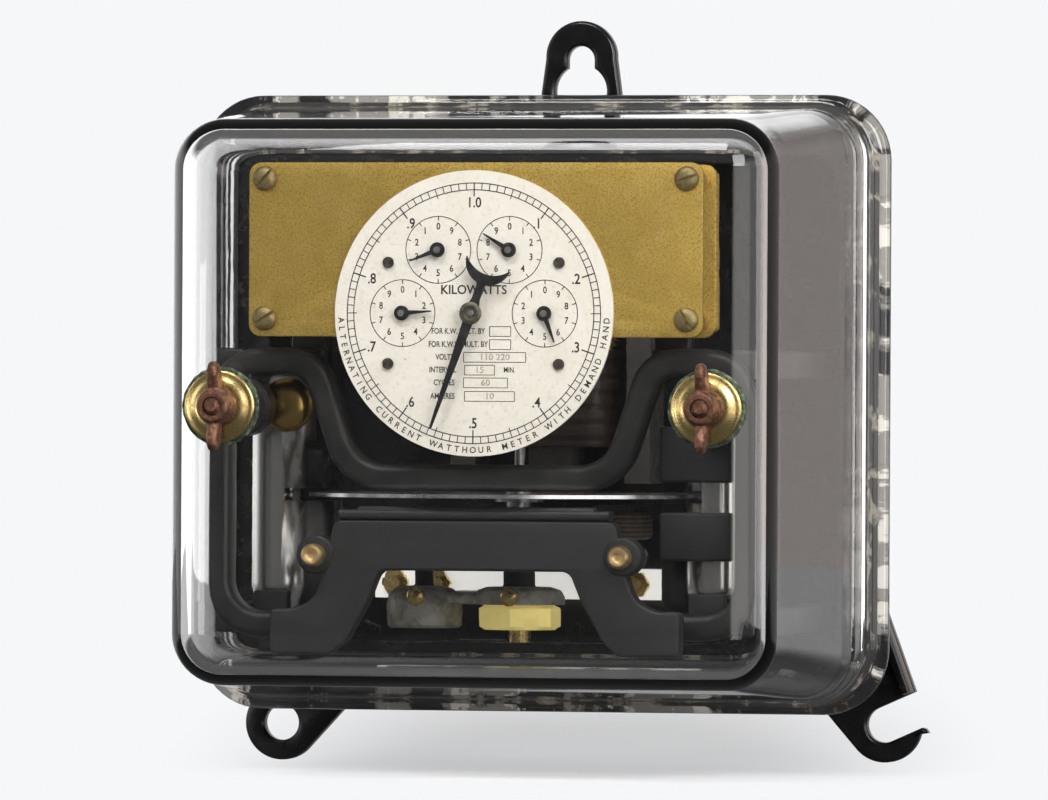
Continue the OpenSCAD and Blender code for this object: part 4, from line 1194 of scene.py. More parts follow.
@dataclass
class Cover:
    """The pressed glass and what holds it on."""

    front: Point = (83.0, 76.0)
    front_depth: float = 140.0
    edge_round: float = 14.0
    wall: float = 5.0
    root: Point = (90.9, 80.7)
    root_depth: float = 54.5
    rim: Point = (96.9, 84.25)
    rim_depth: Point = (45.2, 51.2)
    rim_corner: float = 18.0
    stud: Point = (66.4, -1.2)
    stud_hole: float = 3.2

    def outside(self) -> list[Ring]:
        """The rings of the outer skin, from the back of the rim to the front.

        Returns:
            The rings.
        """
        low, high = self.rim_depth
        bead = (high - low) / 2
        middle = (low + high) / 2
        rings = []
        for x, z in arc((0, 0), bead, -90, 90, 12):
            inset = bead - x
            rings.append(inset_ring(self.rim, inset, self.rim_corner - inset, middle + z))
        hollow = 2.6
        for x, z in arc((0, 0), hollow, 270, 180, 6):
            out = hollow + x
            rings.append(inset_ring(self.root, -out, 14.5 + out, high + hollow + z + 0.3))
        centre = self.front_depth - self.edge_round
        steps = 7
        for i in range(1, steps):
            share = i / steps
            depth = self.root_depth + (centre - self.root_depth) * share
            half_x = self.root[0] + (self.front[0] - self.root[0]) * share
            half_z = self.root[1] + (self.front[1] - self.root[1]) * share
            rings.append(rounded_ring(half_x, half_z, 14.5 - 0.5 * share, depth, 12))
        for x, z in arc((0, 0), self.edge_round, 0, 84, 14):
            inset = self.edge_round - x
            rings.append(inset_ring(self.front, inset, x, centre + z))
        last = self.edge_round + 0.3
        rings.append(inset_ring(self.front, last, 0.6, self.front_depth))
        return rings

    def inside(self) -> list[Ring]:
        """The rings of the inner skin, from the front to the mouth at the back.

        Returns:
            The rings.
        """
        inner = self.edge_round - self.wall
        centre = self.front_depth - self.edge_round
        last = self.edge_round + 0.3
        rings = [inset_ring(self.front, last, 0.6, self.front_depth - self.wall)]
        for x, z in reversed(arc((0, 0), inner, 0, 84, 12)):
            inset = self.edge_round - x
            rings.append(inset_ring(self.front, inset, x, centre + z))
        steps = 6
        for i in range(1, steps + 1):
            share = i / steps
            depth = centre + (self.root_depth - centre) * share
            half_x = self.front[0] + (self.root[0] - self.front[0]) * share - self.wall
            half_z = self.front[1] + (self.root[1] - self.front[1]) * share - self.wall
            rings.append(rounded_ring(half_x, half_z, inner + 0.5 * share, depth, 12))
        low = self.rim_depth[0]
        rings.append(inset_ring(self.root, self.wall - 0.4, inner + 0.9, low + 1.0))
        rings.append(inset_ring(self.root, self.wall - 1.4, inner + 1.9, low))
        return rings

    def glass(self) -> Piece:
        """The glass, with its two stud holes.

        Returns:
            The glass.
        """
        built = bmesh.new()
        outer, inner = self.outside(), self.inside()
        loft(built, outer, caps=False)
        loft(built, inner, caps=False)
        loft(built, [inner[-1], outer[0]], caps=False)
        built.faces.new([built.verts.new(p) for p in outer[-1]])
        built.faces.new([built.verts.new(p) for p in inner[0]])
        bmesh.ops.remove_doubles(built, verts=built.verts, dist=0.01)
        piece = from_bmesh("cover_glass", built, 30)
        for side in SIDES:
            drill = bmesh.new()
            profile = [(self.stud_hole, 0.0), (self.stud_hole, 12.0)]
            turn(drill, profile, (side * self.stud[0], self.front_depth - 8, self.stud[1]),
                 closed=False)
            cut(piece, drill)
        smooth(piece.data, 30)
        piece.visible_shadow = False
        return piece

    def rim_paint(self) -> Piece:
        """The remains of the old seal on the back of the rim."""
        built = bmesh.new()
        low = self.rim_depth[0]
        rings = []
        for reach, depth in ((-0.9, low - 0.05), (-0.9, low - 0.35), (-8.6, low - 0.35),
                             (-8.6, low - 0.05)):
            rings.append(inset_ring(self.rim, -reach, self.rim_corner + reach, depth))
        loft(built, rings, joined=True)
        return from_bmesh("rim_paint", built)

    def gaskets(self) -> Piece:
        """The two gaskets, swollen and uneven at their edges."""
        built = bmesh.new()
        low, high = node_span("stud_gaskets")
        depth, thick = low.y, high.y - low.y
        shaker = random.Random(7)
        for side in SIDES:
            rings = []
            edge = [10.55 + shaker.uniform(-0.12, 0.12) for _ in range(60)]
            profile = ((0.0, 0.05), (0.0, thick * 0.6), (0.5, thick), (-7.2, thick), (-7.2, 0.05))
            for reach, along in profile:
                ring = []
                for i in range(60):
                    angle = 2 * math.pi * i / 60
                    radius = edge[i] - reach if reach >= 0 else 3.3
                    ring.append(Vector((side * self.stud[0] + radius * math.cos(angle),
                                        -depth - along, self.stud[1] + radius * math.sin(angle))))
                rings.append(ring)
            loft(built, rings, joined=True)
        return from_bmesh("gasket_rings", built)

    def washers(self) -> Piece:
        """The two dished washers."""
        built = bmesh.new()
        low, _ = node_span("stud_washers")
        for side in SIDES:
            profile = [(9.0, 0.02), (9.5, 0.15), (9.65, 0.5), (9.55, 0.9), (9.2, 1.1), (8.6, 1.2),
                       (8.0, 1.3),
                       (7.2, 1.75), (6.3, 2.1), (5.6, 2.2), (2.75, 2.2), (2.75, 1.0), (5.2, 1.0),
                       (6.4, 0.8),
                       (7.4, 0.3), (8.0, 0.02)]
            turn(built, profile, (side * self.stud[0], low.y, self.stud[1]), steps=72)
        return from_bmesh("dished_washers", built, 50)

    def wing_nut(self, side: int) -> Piece:
        """A wing nut, cast and corroded.

        Args:
            side: -1 for the left one and 1 for the right one.

        Returns:
            The nut, with its bore.
        """
        back = node_span("wing_nut_left")[0].y
        x, z = side * self.stud[0], self.stud[1]
        name = "nut_left" if side < 0 else "nut_right"
        built = bmesh.new()
        profile = [(5.2, 0.1), (5.4, 0.5), (5.3, 2.0), (4.7, 4.6), (4.3, 6.3), (3.9, 6.75)]
        turn(built, profile, (x, back, z), steps=40, closed=False)
        pieces = [from_bmesh(name + ".hub", built)]
        for end in SIDES:
            lobe = bmesh.new()
            spine = [(2.4, 1.9, 1.75), (4.4, 2.5, 1.7), (6.4, 3.1, 1.6), (8.4, 3.45, 1.5),
                     (10.2, 3.2, 1.35),
                     (11.4, 2.3, 1.1), (12.0, 1.2, 0.7)]
            rings = []
            for reach, half_depth, half_thick in spine:
                lean = 0.38 * max(reach - 3, 0)
                section = rounded_outline(half_thick, half_depth, half_thick * 0.9, 5)
                rings.append([Vector((x + a, -(back + 3.2 + lean * 0.45 + b),
                                      z + end * reach)) for a, b in section])
            loft(lobe, rings)
            pieces.append(from_bmesh(f"{name}.wing{end}", lobe))
        piece = merged(name, pieces)
        cast(piece, 0.32, 5)
        drill = bmesh.new()
        turn(drill, [(2.55, 0.0), (2.55, 14.0)], (x, back - 2, z), steps=32, closed=False)
        cut(piece, drill)
        smooth(piece.data, 45)
        return piece

    def build(self) -> None:
        """Makes the cover's pieces."""
        settle(self.glass(), ClearGlass(), "cover", ["glass_cover"])
        settle(self.rim_paint(), SealRemains(), "cover")
        settle(self.gaskets(), VERDIGRIS, "cover", ["stud_gaskets"])
        settle(self.washers(), BRIGHT_BRASS, "cover", ["stud_washers"])
        for side, end in zip(SIDES, ("left", "right")):
            settle(self.wing_nut(side), NUT_BROWN, f"nut_{end}",
                   [f"wing_nut_{end}"])


# ---------------------------------------------------------------- frame and magnets


@dataclass
class Works:
    """The main frame, the lower bracket, the magnets and the lower bearing."""

    front: float = 119.0
    thick: float = 9.0
    bar: float = 7.2
    outer: float = 72.6
    shoulder: float = 11.1
    foot: float = -59.6
    stud: Point = (66.4, -1.2)
    boss: float = 8.0
    magnet_front: float = 106.0
    magnet_thick: float = 20.0
    axis_depth: float = 72.0

    def main_frame(self) -> Piece:
        """The frame's bars, bosses, legs and tabs, as one casting.

        Returns:
            The frame.
        """
        back = self.front - self.thick
        half = [(44.0, self.foot), (self.outer, self.foot), (self.outer, self.shoulder),
                (46.5, self.shoulder), (36.2, -20.05)]
        corners = [(-x, z) for x, z in half] + half[::-1]
        radii = [0.0, 12.0, 12.0, 9.0, 13.0]
        path = fillet(corners, radii + radii[::-1], False, 12)
        built = bmesh.new()
        sweep(built, path, self.bar, back, self.front - 0.1, 2.2)
        for side in SIDES:
            turn(built, [(self.boss - 0.6, 0), (self.boss, 0.8), (self.boss, self.thick - 1),
                         (self.boss - 0.8, self.thick - 0.1)],
                 (side * self.stud[0], back, self.stud[1]), steps=40, closed=False)
            box(built, (side * self.stud[0] - 3, back + 0.6, self.stud[1]),
                (side * self.stud[0] + 3, self.front - 0.8, self.shoulder), 0.8)
            for z in (10.5, -58.0):
                box(built, (side * 71 - 4, 4, z - 4), (side * 71 + 4, back + 2, z + 4), 1.0)
            box(built, (side * 50 - 5, 102, 8), (side * 50 + 5, 108.4, 37), 1.0)
            box(built, (side * 50 - 5, 102, 8), (side * 50 + 5, back + 2, 14.4), 1.0)
        return from_bmesh("frame_casting", built)

    def lower_bracket(self) -> Piece:
        """The bracket with its arch, its lip and its pin bosses.

        Returns:
            The bracket.
        """
        half = [(0.0, -31.3), (38.6, -31.3), (40.6, -43.0), (44.0, -53.0), (50.0, -55.2),
                (56.1, -55.2),
                (56.1, -67.5), (39.5, -67.5), (35.4, -64.0), (29.5, -53.5), (26.0, -44.8),
                (0.0, -44.8)]
        radii = [0.0, 3.0, 12.0, 8.0, 2.0, 1.5, 1.5, 3.0, 6.0, 10.0, 3.2, 0.0]
        corners = half + [(-x, z) for x, z in half[-2:0:-1]]
        rounding = radii + radii[-2:0:-1]
        outline = fillet(corners, rounding, True, 8)[::-1]
        high = node_span("lower_bracket")[1]
        pieces = [plate("bracket.web", [outline], self.front + 0.05, high.y - 0.6, 0.8, 3)]
        built = bmesh.new()
        box(built, (-32.6, self.front + 0.2, -33), (32.6, high.y - 2.2, -27.7), 0.9)
        edge = fillet([(-37.0, -29.9), (37.0, -29.9)], [0, 0], False)
        sweep(built, edge, 2.6, self.front + 0.4, high.y, 1.0)
        for x, z in ((-43.5, -40.8), (40.4, -40.8)):
            turn(built, [(5.0, 0.1), (5.2, 0.6), (5.2, 6.2), (4.6, 6.8), (2.3, 6.8), (2.3, 0.1)],
                 (x, self.front, z), steps=40)
        pieces.append(from_bmesh("bracket.lip", built))
        return merged("bracket_casting", pieces)

    def magnet(self, side: int) -> list[Piece]:
        """A drag magnet of round-edged bar, with its jaws coloured near black as painted shade.

        Args:
            side: -1 for the left one and 1 for the right one.

        Returns:
            The limb and the jaws.
        """
        low, high = node_span("drag_magnet_right")
        gap, disk, notch, bar = 1.7, -24.9, -11.2, 51.9
        back = self.magnet_front - self.magnet_thick
        corners = [(bar, low.z + 0.1), (high.x, low.z + 0.1), (high.x, high.z), (bar, high.z)]
        limb = fillet(corners, [7.4] * 4, True, 12)
        corners = [(low.x + 0.2, low.z + 0.1), (bar + 4, low.z + 0.1), (bar + 4, notch),
                   (low.x + 0.2, notch)]
        jaws = fillet(corners, [3.6] * 4, True, 8)
        name = "magnet_left" if side < 0 else "magnet_right"
        pieces = []
        for part, outline, bevel, sunk in (("limb", limb, 7.0, 0.0), ("jaws", jaws, 3.3, 5.0)):
            if side < 0:
                outline = [(-x, z) for x, z in outline[::-1]]
            piece = plate(f"{name}.{part}", [outline], back, self.magnet_front - sunk, bevel, 10)
            cutter = bmesh.new()
            near, far = sorted((side * 40.0, side * 57.8))
            box(cutter, (near, back - 1, disk - gap), (far, self.magnet_front + 1, disk + gap), 0.0)
            cut(piece, cutter)
            pieces.append(piece)
        return pieces

    def clamp_blocks(self) -> Piece:
        """The blocks that press the magnets on the frame."""
        low, high = node_span("magnet_clamps")
        built = bmesh.new()
        for side in SIDES:
            for left, right, foot, top in ((55.0, 64.6, low.z, -50.6), (64.4, 67.5, 0.6, high.z)):
                near, far = sorted((side * left, side * right))
                box(built, (near, low.y + 0.02, foot), (far, high.y, top), 0.6)
        return from_bmesh("clamp_blocks", built)

    def clamp_knobs(self) -> Piece:
        """The domed brass heads that hold the tops of the magnets."""
        built = bmesh.new()
        for side in SIDES:
            turn(built,
                 [(7.2, 0.02), (7.3, 0.5), (7.0, 1.3), (6.0, 2.2), (4.4, 2.9), (2.4, 3.3),
                  (0.2, 3.45)],
                 (side * 56.6, self.magnet_front, -0.8), steps=56, closed=False)
        return from_bmesh("clamp_knobs", built)

    def pins(self) -> Piece:
        """The two brass pins of the bracket, rounded and dimpled at their ends."""
        low, high = node_span("bracket_pins")
        shank = high.y - low.y - 5.0
        profile = [(2.2, 0.0), (2.2, shank), (2.9, shank), (3.0, shank + 0.2), (3.0, shank + 3.6),
                   (2.75, shank + 4.4), (2.25, shank + 4.9), (1.8, shank + 4.85),
                   (1.45, shank + 4.3),
                   (0.9, shank + 4.0), (0.1, shank + 4.15)]
        built = bmesh.new()
        for x in (low.x + 3, high.x - 3):
            turn(built, profile, (x, low.y, (low.z + high.z) / 2), steps=40, closed=False)
        return from_bmesh("pins", built, 50)

    def keeper(self) -> Piece:
        """The black blocks clamped over the right magnet."""
        built = bmesh.new()
        low, high = node_span("magnet_keeper")
        box(built, (low.x, low.y + 0.02, low.z), (high.x, high.y, -28.9), 0.8)
        box(built, (low.x, low.y + 0.02, -20.9), (high.x, high.y, high.z), 0.8)
        return from_bmesh("keeper_blocks", built)

    def bearing(self) -> Piece:
        """The grey casting under the disk, with its two domed bosses.

        Returns:
            The casting.
        """
        built = bmesh.new()
        depth = self.axis_depth
        turn(built, [(12.2, -54.5), (12.3, -52.4), (11.2, -50.6), (8.8, -49.8), (3.4, -49.6),
                     (3.1, -54.5)], (0, depth, 0), Axis.UP, 56)
        turn(built,
             [(9.4, -61.0), (10.2, -60.2), (10.4, -55.0), (9.7, -52.0), (7.8, -50.4), (5.0, -49.7),
                     (2.6, -49.6)], (-26.5, depth, 0), Axis.UP, 56, closed=False)
        box(built, (-26.5, depth - 6, -54.5), (-4, depth + 6, -51.4), 1.2)
        box(built, (-30.5, 24, -54.5), (-4, depth, -51.8), 1.0)
        box(built, (-30.5, 16.4, -54.4), (-22.5, 26, -51.8), 0.8)
        return from_bmesh("bearing_casting", built, 40)

    def bearing_posts(self) -> Piece:
        """The dark posts on the two bosses."""
        built = bmesh.new()
        turn(built,
             [(3.05, -49.9), (4.6, -49.9), (4.3, -49.2), (4.25, -45.8), (4.1, -45.65),
              (3.05, -45.65)],
             (0, self.axis_depth, 0), Axis.UP, 40)
        turn(built, [(3.0, -49.9), (2.5, -49.2), (2.4, -45.3), (2.2, -45.05)],
             (-26.5, self.axis_depth, 0),
             Axis.UP, 40, closed=False)
        return from_bmesh("bearing_posts", built)

    def set_screws(self) -> Piece:
        """The small brass screws on the fronts of the bosses."""
        built = bmesh.new()
        for x, depth in ((-26.5, 82.2), (0.0, 84.1)):
            turn(built, [(2.5, -0.6), (2.6, 0.2), (2.3, 0.9), (1.4, 1.4), (0.2, 1.5)],
                 (x, depth, -52.4),
                 steps=32, closed=False)
        return from_bmesh("boss_screws", built)

    def hexagon_nut(self) -> Piece:
        """The big brass nut, with its chamfered corners."""
        built = bmesh.new()
        low, high = node_span("bearing_nut")
        radius = (high.y - low.y) / 2
        flat = radius * math.cos(math.pi / 6)
        levels = ((0.0, flat - 0.3), (0.9, radius), (high.z - low.z - 0.9, radius),
                  (high.z - low.z, flat - 0.3))
        rings = []
        steps = 72
        for along, limit in levels:
            ring = []
            for i in range(steps):
                angle = 2 * math.pi * i / steps
                sector = (angle + math.pi / 6) % (math.pi / 3) - math.pi / 6
                reach = min(flat / math.cos(sector), limit)
                ring.append(Vector((reach * math.cos(angle),
                                    reach * math.sin(angle) - self.axis_depth, low.z + along)))
            rings.append(ring)
        bore = [polar((0, -self.axis_depth), 3.02, 360 * i / steps) for i in range(steps)]
        inner = [[Vector((x, y, z)) for x, y in bore] for z in (high.z, low.z)]
        loft(built, rings + inner, joined=True)
        return from_bmesh("hexagon_nut", built, 25)

    def build(self) -> None:
        """Makes the works' pieces."""
        settle(self.main_frame(), FRAME_BLACK, "base", ["main_frame"])
        settle(self.lower_bracket(), DULL_BLACK, "base", ["lower_bracket"])
        settle(self.pins(), PINK_BRASS, "base", ["bracket_pins"])
        for side, end in zip(SIDES, ("left", "right")):
            limb, jaws = self.magnet(side)
            settle(limb, NICKEL, "base", [f"drag_magnet_{end}"])
            # The jaws are coloured dark as painted shade.
            settle(jaws, JAWS_PAINTED_SHADE, "base")
        settle(self.clamp_blocks(), DULL_BLACK, "base", ["magnet_clamps"])
        settle(self.clamp_knobs(), KNOB_BRASS, "base")
        settle(self.keeper(), DULL_BLACK, "base", ["magnet_keeper"])
        settle(self.bearing(), GREY_CAST, "base", ["lower_bearing_bridge"])
        settle(self.bearing_posts(), DULL_BLACK, "base")
        settle(self.set_screws(), BRIGHT_BRASS, "base")
        # The nut's brass carries a painted glow.
        settle(self.hexagon_nut(), NUT_BRASS_PAINTED_GLOW, "base", ["bearing_nut"])


@dataclass
class Coils:
    """The windings of the electromagnet, rounded where the tape and the wire turn."""

    potential_round: float = 5.0
    current_round: float = 3.5

    @staticmethod
    def winding(built: BMesh, low: Sequence[float], high: Sequence[float], window: Point,
                radius: float) -> None:
        """A winding round an upright limb.

        Args:
            built: The bmesh that it goes into.
            low: Lowest x, depth and z.
            high: Highest x, depth and z.
            window: Half of the hole's width in x and in depth.
            radius: Rounding of the winding's corners.
        """
        x, depth = (low[0] + high[0]) / 2, (low[1] + high[1]) / 2
        half_x, half_y = (high[0] - low[0]) / 2, (high[1] - low[1]) / 2
        edge = 1.6
        levels = ((edge, 0.0), (edge * 0.3, edge * 0.3), (0.0, edge))
        outer = [(inset, low[2] + rise) for inset, rise in levels]
        outer += [(inset, high[2] - rise) for inset, rise in levels[::-1]]
        rings = []
        for inset, z in outer:
            outline = rounded_outline(half_x - inset, half_y - inset, radius - inset * 0.5, 6)
            rings.append([Vector((x + a, b - depth, z)) for a, b in outline])
        for z in (high[2], low[2]):
            outline = rounded_outline(window[0], window[1], 0.3, 6)
            rings.append([Vector((x + a, b - depth, z)) for a, b in outline])
        loft(built, rings, joined=True)

    def build(self) -> None:
        """Makes the windings."""
        low, high = node_span("potential_coil")
        built = bmesh.new()
        self.winding(built, low, high, (6.2, 8.2), self.potential_round)
        settle(from_bmesh("potential_winding", built), TAPED_COIL, "base",
               ["potential_coil"])
        low, high = node_span("current_coils")
        half = 8.6
        built = bmesh.new()
        for side in SIDES:
            middle = side * 16.0
            self.winding(built, (middle - half, low.y, low.z), (middle + half, high.y, high.z),
                         (4.2, 8.2),
                         self.current_round)
        settle(from_bmesh("current_windings", built), WOUND_COIL, "base",
               ["current_coils"])


# ---------------------------------------------------------------- the register


@dataclass
class Lettering:
    """Sets flat raised print on the dial from Blender's own letters."""

    surface: float
    height: float = 0.035
    weight: float = 0.022
    made: dict[tuple[str, float], Mesh] = field(default_factory=dict)

    def glyphs(self, words: str, size: float) -> Mesh:
        """The mesh of some words, in millimetres about their middle.

        Args:
            words: What they say.
            size: Height of a capital letter.

        Returns:
            The mesh, made once for each words and size.
        """
        key = (words, size)
        if key not in self.made:
            curve = bpy.data.curves.new("letters", "FONT")
            curve.body = words
            curve.size = size * 1.37
            curve.align_x = "CENTER"
            curve.align_y = "CENTER"
            curve.extrude = self.height / 2
            curve.offset = size * self.weight
            curve.resolution_u = 3
            holder = new_object("letters", curve)
            graph = bpy.context.evaluated_depsgraph_get()
            self.made[key] = bpy.data.meshes.new_from_object(holder.evaluated_get(graph))
            bpy.data.objects.remove(holder)
            bpy.data.curves.remove(curve)
        return self.made[key]

    def put(self, built: BMesh, words: str, size: float, x: float, z: float,
            lean: float = 0.0, squeeze: float = 1.0) -> None:
        """Prints words on the dial.

        Args:
            built: The bmesh that the print goes into.
            words: What they say.
            size: Height of a capital letter.
            x: Where their middle is.
            z: Where their middle is.
            lean: Turn in degrees, anticlockwise.
            squeeze: Width against the letters' own width.
        """
        first = len(built.verts)
        built.from_mesh(self.glyphs(words, size))
        built.verts.ensure_lookup_table()
        fresh = built.verts[first:]
        where = Matrix.Translation((x, -(self.surface + self.height / 2), z))
        stand = Matrix.Rotation(math.pi / 2, 4, "X")
        turned = Matrix.Rotation(math.radians(lean), 4, "Z")
        narrow = Matrix.Diagonal((squeeze, 1, 1, 1))
        bmesh.ops.transform(built, matrix=where @ stand @ turned @ narrow, verts=fresh)

    def prism(self, built: BMesh, outline: Sequence[Point]) -> None:
        """A thin raised shape of the print."""
        loft(built, [ring_at(outline, self.surface), ring_at(outline, self.surface + self.height)])

    def line(self, built: BMesh, start: Point, end: Point, width: float) -> None:
        """A printed line."""
        a, b = Vector(start), Vector(end)
        across = Vector((-(b - a).y, (b - a).x)).normalized() * width / 2
        corners = (a - across, b - across, b + across, a + across)
        self.prism(built, [(p.x, p.y) for p in corners])

    def circle(self, built: BMesh, centre: Point, radius: float, width: float) -> None:
        """A printed circle."""
        rings = []
        for reach, up in ((-0.5, 0), (0.5, 0), (0.5, self.height), (-0.5, self.height)):
            outline = arc(centre, radius + reach * width, 0, 357, 119)
            rings.append(ring_at(outline, self.surface + up))
        loft(built, rings, joined=True)

    def frame(self, built: BMesh, low: Point, high: Point, width: float) -> None:
        """A printed box."""
        corners = [low, (high[0], low[1]), high, (low[0], high[1])]
        for i, start in enumerate(corners):
            self.line(built, start, corners[(i + 1) % 4], width)


class Way(Enum):
    """The way that the figures of a small dial run."""

    CLOCKWISE = 1
    ANTICLOCKWISE = -1


@dataclass
class Register:
    """The register: plates, screws, dial print and the demand hand."""

    centre: Point = (0.0, 23.9)
    radius: float = 38.1
    plate_front: float = 126.0
    dial_front: float = 127.0
    plate_half: Point = (62.15, 23.3)
    plate_middle: float = 40.9
    arbor_pitch: float = 19.5
    ring: Point = (32.9, 34.7)
    label_radius: float = 29.4
    small_radius: float = 8.9
    hand_angle: float = 199.8
    hand_length: float = 33.3

    def spots(self) -> list[Point]:
        """The middles of the small dials, from the right one anticlockwise."""
        return [polar(self.centre, self.arbor_pitch, 60 * i) for i in range(4)]

    def plate_at(self, name: str, back: float, thick: float, tab: Point) -> Piece:
        """A register plate with its tab, its arbor holes and its soft edges.

        Args:
            name: Name of the piece.
            back: Depth of its back face.
            thick: Its thickness.
            tab: Half of the tab's width, and the height of its foot.

        Returns:
            The plate.
        """
        half_x, half_z = self.plate_half
        top, foot = self.plate_middle + half_z, self.plate_middle - half_z
        corners = [(-half_x, foot), (-tab[0], foot), (-tab[0], tab[1]), (tab[0], tab[1]),
                   (tab[0], foot),
                   (half_x, foot), (half_x, top), (-half_x, top)]
        outline = fillet(corners, [3.3, 0.6, 1.5, 1.5, 0.6, 3.3, 3.3, 3.3], True, 8)
        drive = (9.75, self.centre[1] - 16.887)
        holes = [arc(spot, 1.0, 0, 345, 23) for spot in [*self.spots(), self.centre, drive]]
        return plate(name, [outline, *holes], back, back + thick, 0.22, 2)

    def screw(self, built: BMesh, place: Point, lean: float) -> None:
        """A domed slotted screw head.

        Args:
            built: The bmesh that it goes into.
            place: Its middle.
            lean: Turn of its slot in degrees.
        """
        radius, rise, slot = 3.3, 1.8, 0.42
        steps = 48
        rings = []
        profile = [(1.0, 0.0), (1.0, 0.45), (0.97, 0.75), (0.85, 1.15), (0.65, 1.5), (0.4, 1.7),
                   (0.0001, 1.78)]
        for share, up in profile:
            ring = []
            for i in range(steps):
                angle = 2 * math.pi * i / steps
                ring.append(Vector((place[0] + radius * share * math.cos(angle),
                                    -self.plate_front - up,
                                    place[1] + radius * share * math.sin(angle))))
            rings.append(ring)
        head = bmesh.new()
        loft(head, rings)
        bmesh.ops.remove_doubles(head, verts=head.verts, dist=0.005)
        piece = from_bmesh("head", head)
        cutter = bmesh.new()
        box(cutter, (-radius - 1, rise * 0.5, -slot), (radius + 1, rise + 1, slot), 0.0)
        bmesh.ops.rotate(cutter, matrix=Matrix.Rotation(math.radians(lean), 3, "Y"),
                         verts=cutter.verts)
        bmesh.ops.translate(cutter, vec=(place[0], -self.plate_front, place[1]), verts=cutter.verts)
        cut(piece, cutter)
        bmesh.ops.scale(built, vec=(1 / MM,) * 3, verts=built.verts)
        built.from_mesh(piece.data)
        bpy.data.objects.remove(piece)

    def screws(self) -> Piece:
        """The four slotted screws of the front plate."""
        pieces = []
        places = [(-57.8, 22.4), (-57.8, 59.8), (57.8, 22.4), (57.8, 59.8)]
        for place, lean in zip(places, (-35.0, -50.0, 60.0, -20.0)):
            built = bmesh.new()
            self.screw(built, place, lean)
            mesh = bpy.data.meshes.new("screw")
            built.to_mesh(mesh)
            built.free()
            pieces.append(new_object("screw", mesh))
        return merged("register_screw_heads", pieces, 35)

    def demand_hand(self) -> Piece:
        """The long hand with its crescent tail, lying along +Z before it is turned.

        Returns:
            The hand.
        """
        low, high = node_span("demand_hand")
        tail, horn, cut, cut_radius = -14.5, 6.3, -19.05, 7.95
        blade = [(0.32, self.hand_length - 0.6), (-0.32, self.hand_length - 0.6), (-1.4, 1.8)]
        blade += arc((0, 0), 2.4, 140, 222, 8)
        blade += [(-1.1, -4.0), (-1.15, -7.8)]
        blade += arc((0, tail), horn, 103, 175, 18) + arc((0, cut), cut_radius, 141, 39, 24)
        blade += arc((0, tail), horn, 5, 77, 18)
        blade += [(1.15, -7.8), (1.1, -4.0)]
        blade += arc((0, 0), 2.4, -42, 40, 8)
        blade += [(1.4, 1.8)]
        hole = arc((0, 0), 0.95, 0, 345, 23)
        piece = plate("hand_blade", [blade, hole], low.y, high.y, 0.12, 2)
        lean = Matrix.Rotation(math.radians(self.hand_angle), 4, "Y")
        shift = Matrix.Translation((self.centre[0] * MM, 0, self.centre[1] * MM))
        piece.data.transform(shift @ lean)
        return piece

    def hand_collar(self) -> Piece:
        """The dark domed collar that holds the long hand."""
        front = node_span("demand_hand")[1].y
        built = bmesh.new()
        profile = [(1.0, 0.0), (2.9, 0.0), (3.05, 0.15), (3.0, 0.45), (2.6, 0.75), (1.9, 0.8),
                   (1.75, 0.5),
                   (1.3, 0.35), (1.0, 0.35)]
        turn(built, profile, (self.centre[0], front, self.centre[1]), steps=48)
        return from_bmesh("hand_collar", built)

    def hand_spindle(self) -> Piece:
        """The bright arbor of the long hand, with its collar behind the rear plate."""
        low, high = node_span("hand_arbor")
        built = bmesh.new()
        x, z = self.centre
        profile = [(0.8, 0.0), (0.9, 0.1), (0.9, high.y - low.y - 0.3), (0.6, high.y - low.y)]
        turn(built, profile, (x, low.y, z), steps=32, closed=False)
        turn(built, [(0.95, 0.1), (2.4, 0.1), (2.5, 0.2), (2.5, 1.6), (2.4, 1.7), (0.95, 1.7)],
             (x, low.y, z))
        return from_bmesh("hand_spindle", built)

    def scale_ring(self, print_: Lettering, built: BMesh) -> None:
        """Prints the outer scale and its figures."""
        inner, outer = self.ring
        for radius in self.ring:
            print_.circle(built, self.centre, radius, 0.26)
        for i in range(100):
            angle = 90 - 3.6 * i
            start = inner - (1.8 if i % 10 == 0 else 0.9 if i % 5 == 0 else 0.0)
            print_.line(built, polar(self.centre, start, angle), polar(self.centre, outer, angle),
                        0.34 if i % 10 == 0 else 0.24)
        for i in range(1, 11):
            words = "1.0" if i == 10 else f".{i}"
            x, z = polar(self.centre, self.label_radius, 90 - 36 * i)
            print_.put(built, words, 2.8, x, z, squeeze=0.85)

    def small_dial(self, print_: Lettering, built: BMesh, spot: Point, way: Way) -> None:
        """Prints a small dial, its ticks and its figures.

        Args:
            print_: The lettering.
            built: The bmesh that the print goes into.
            spot: The dial's middle.
            way: The way that its figures run.
        """
        print_.circle(built, spot, self.small_radius, 0.22)
        for i in range(10):
            angle = 90 - way.value * 36 * i
            start, end = polar(spot, self.small_radius - 1.1, angle), polar(spot,
                                                                            self.small_radius,
                                                                            angle)
            print_.line(built, start, end, 0.24)
            x, z = polar(spot, 6.2, angle)
            print_.put(built, str(i), 1.85, x, z, squeeze=0.85)

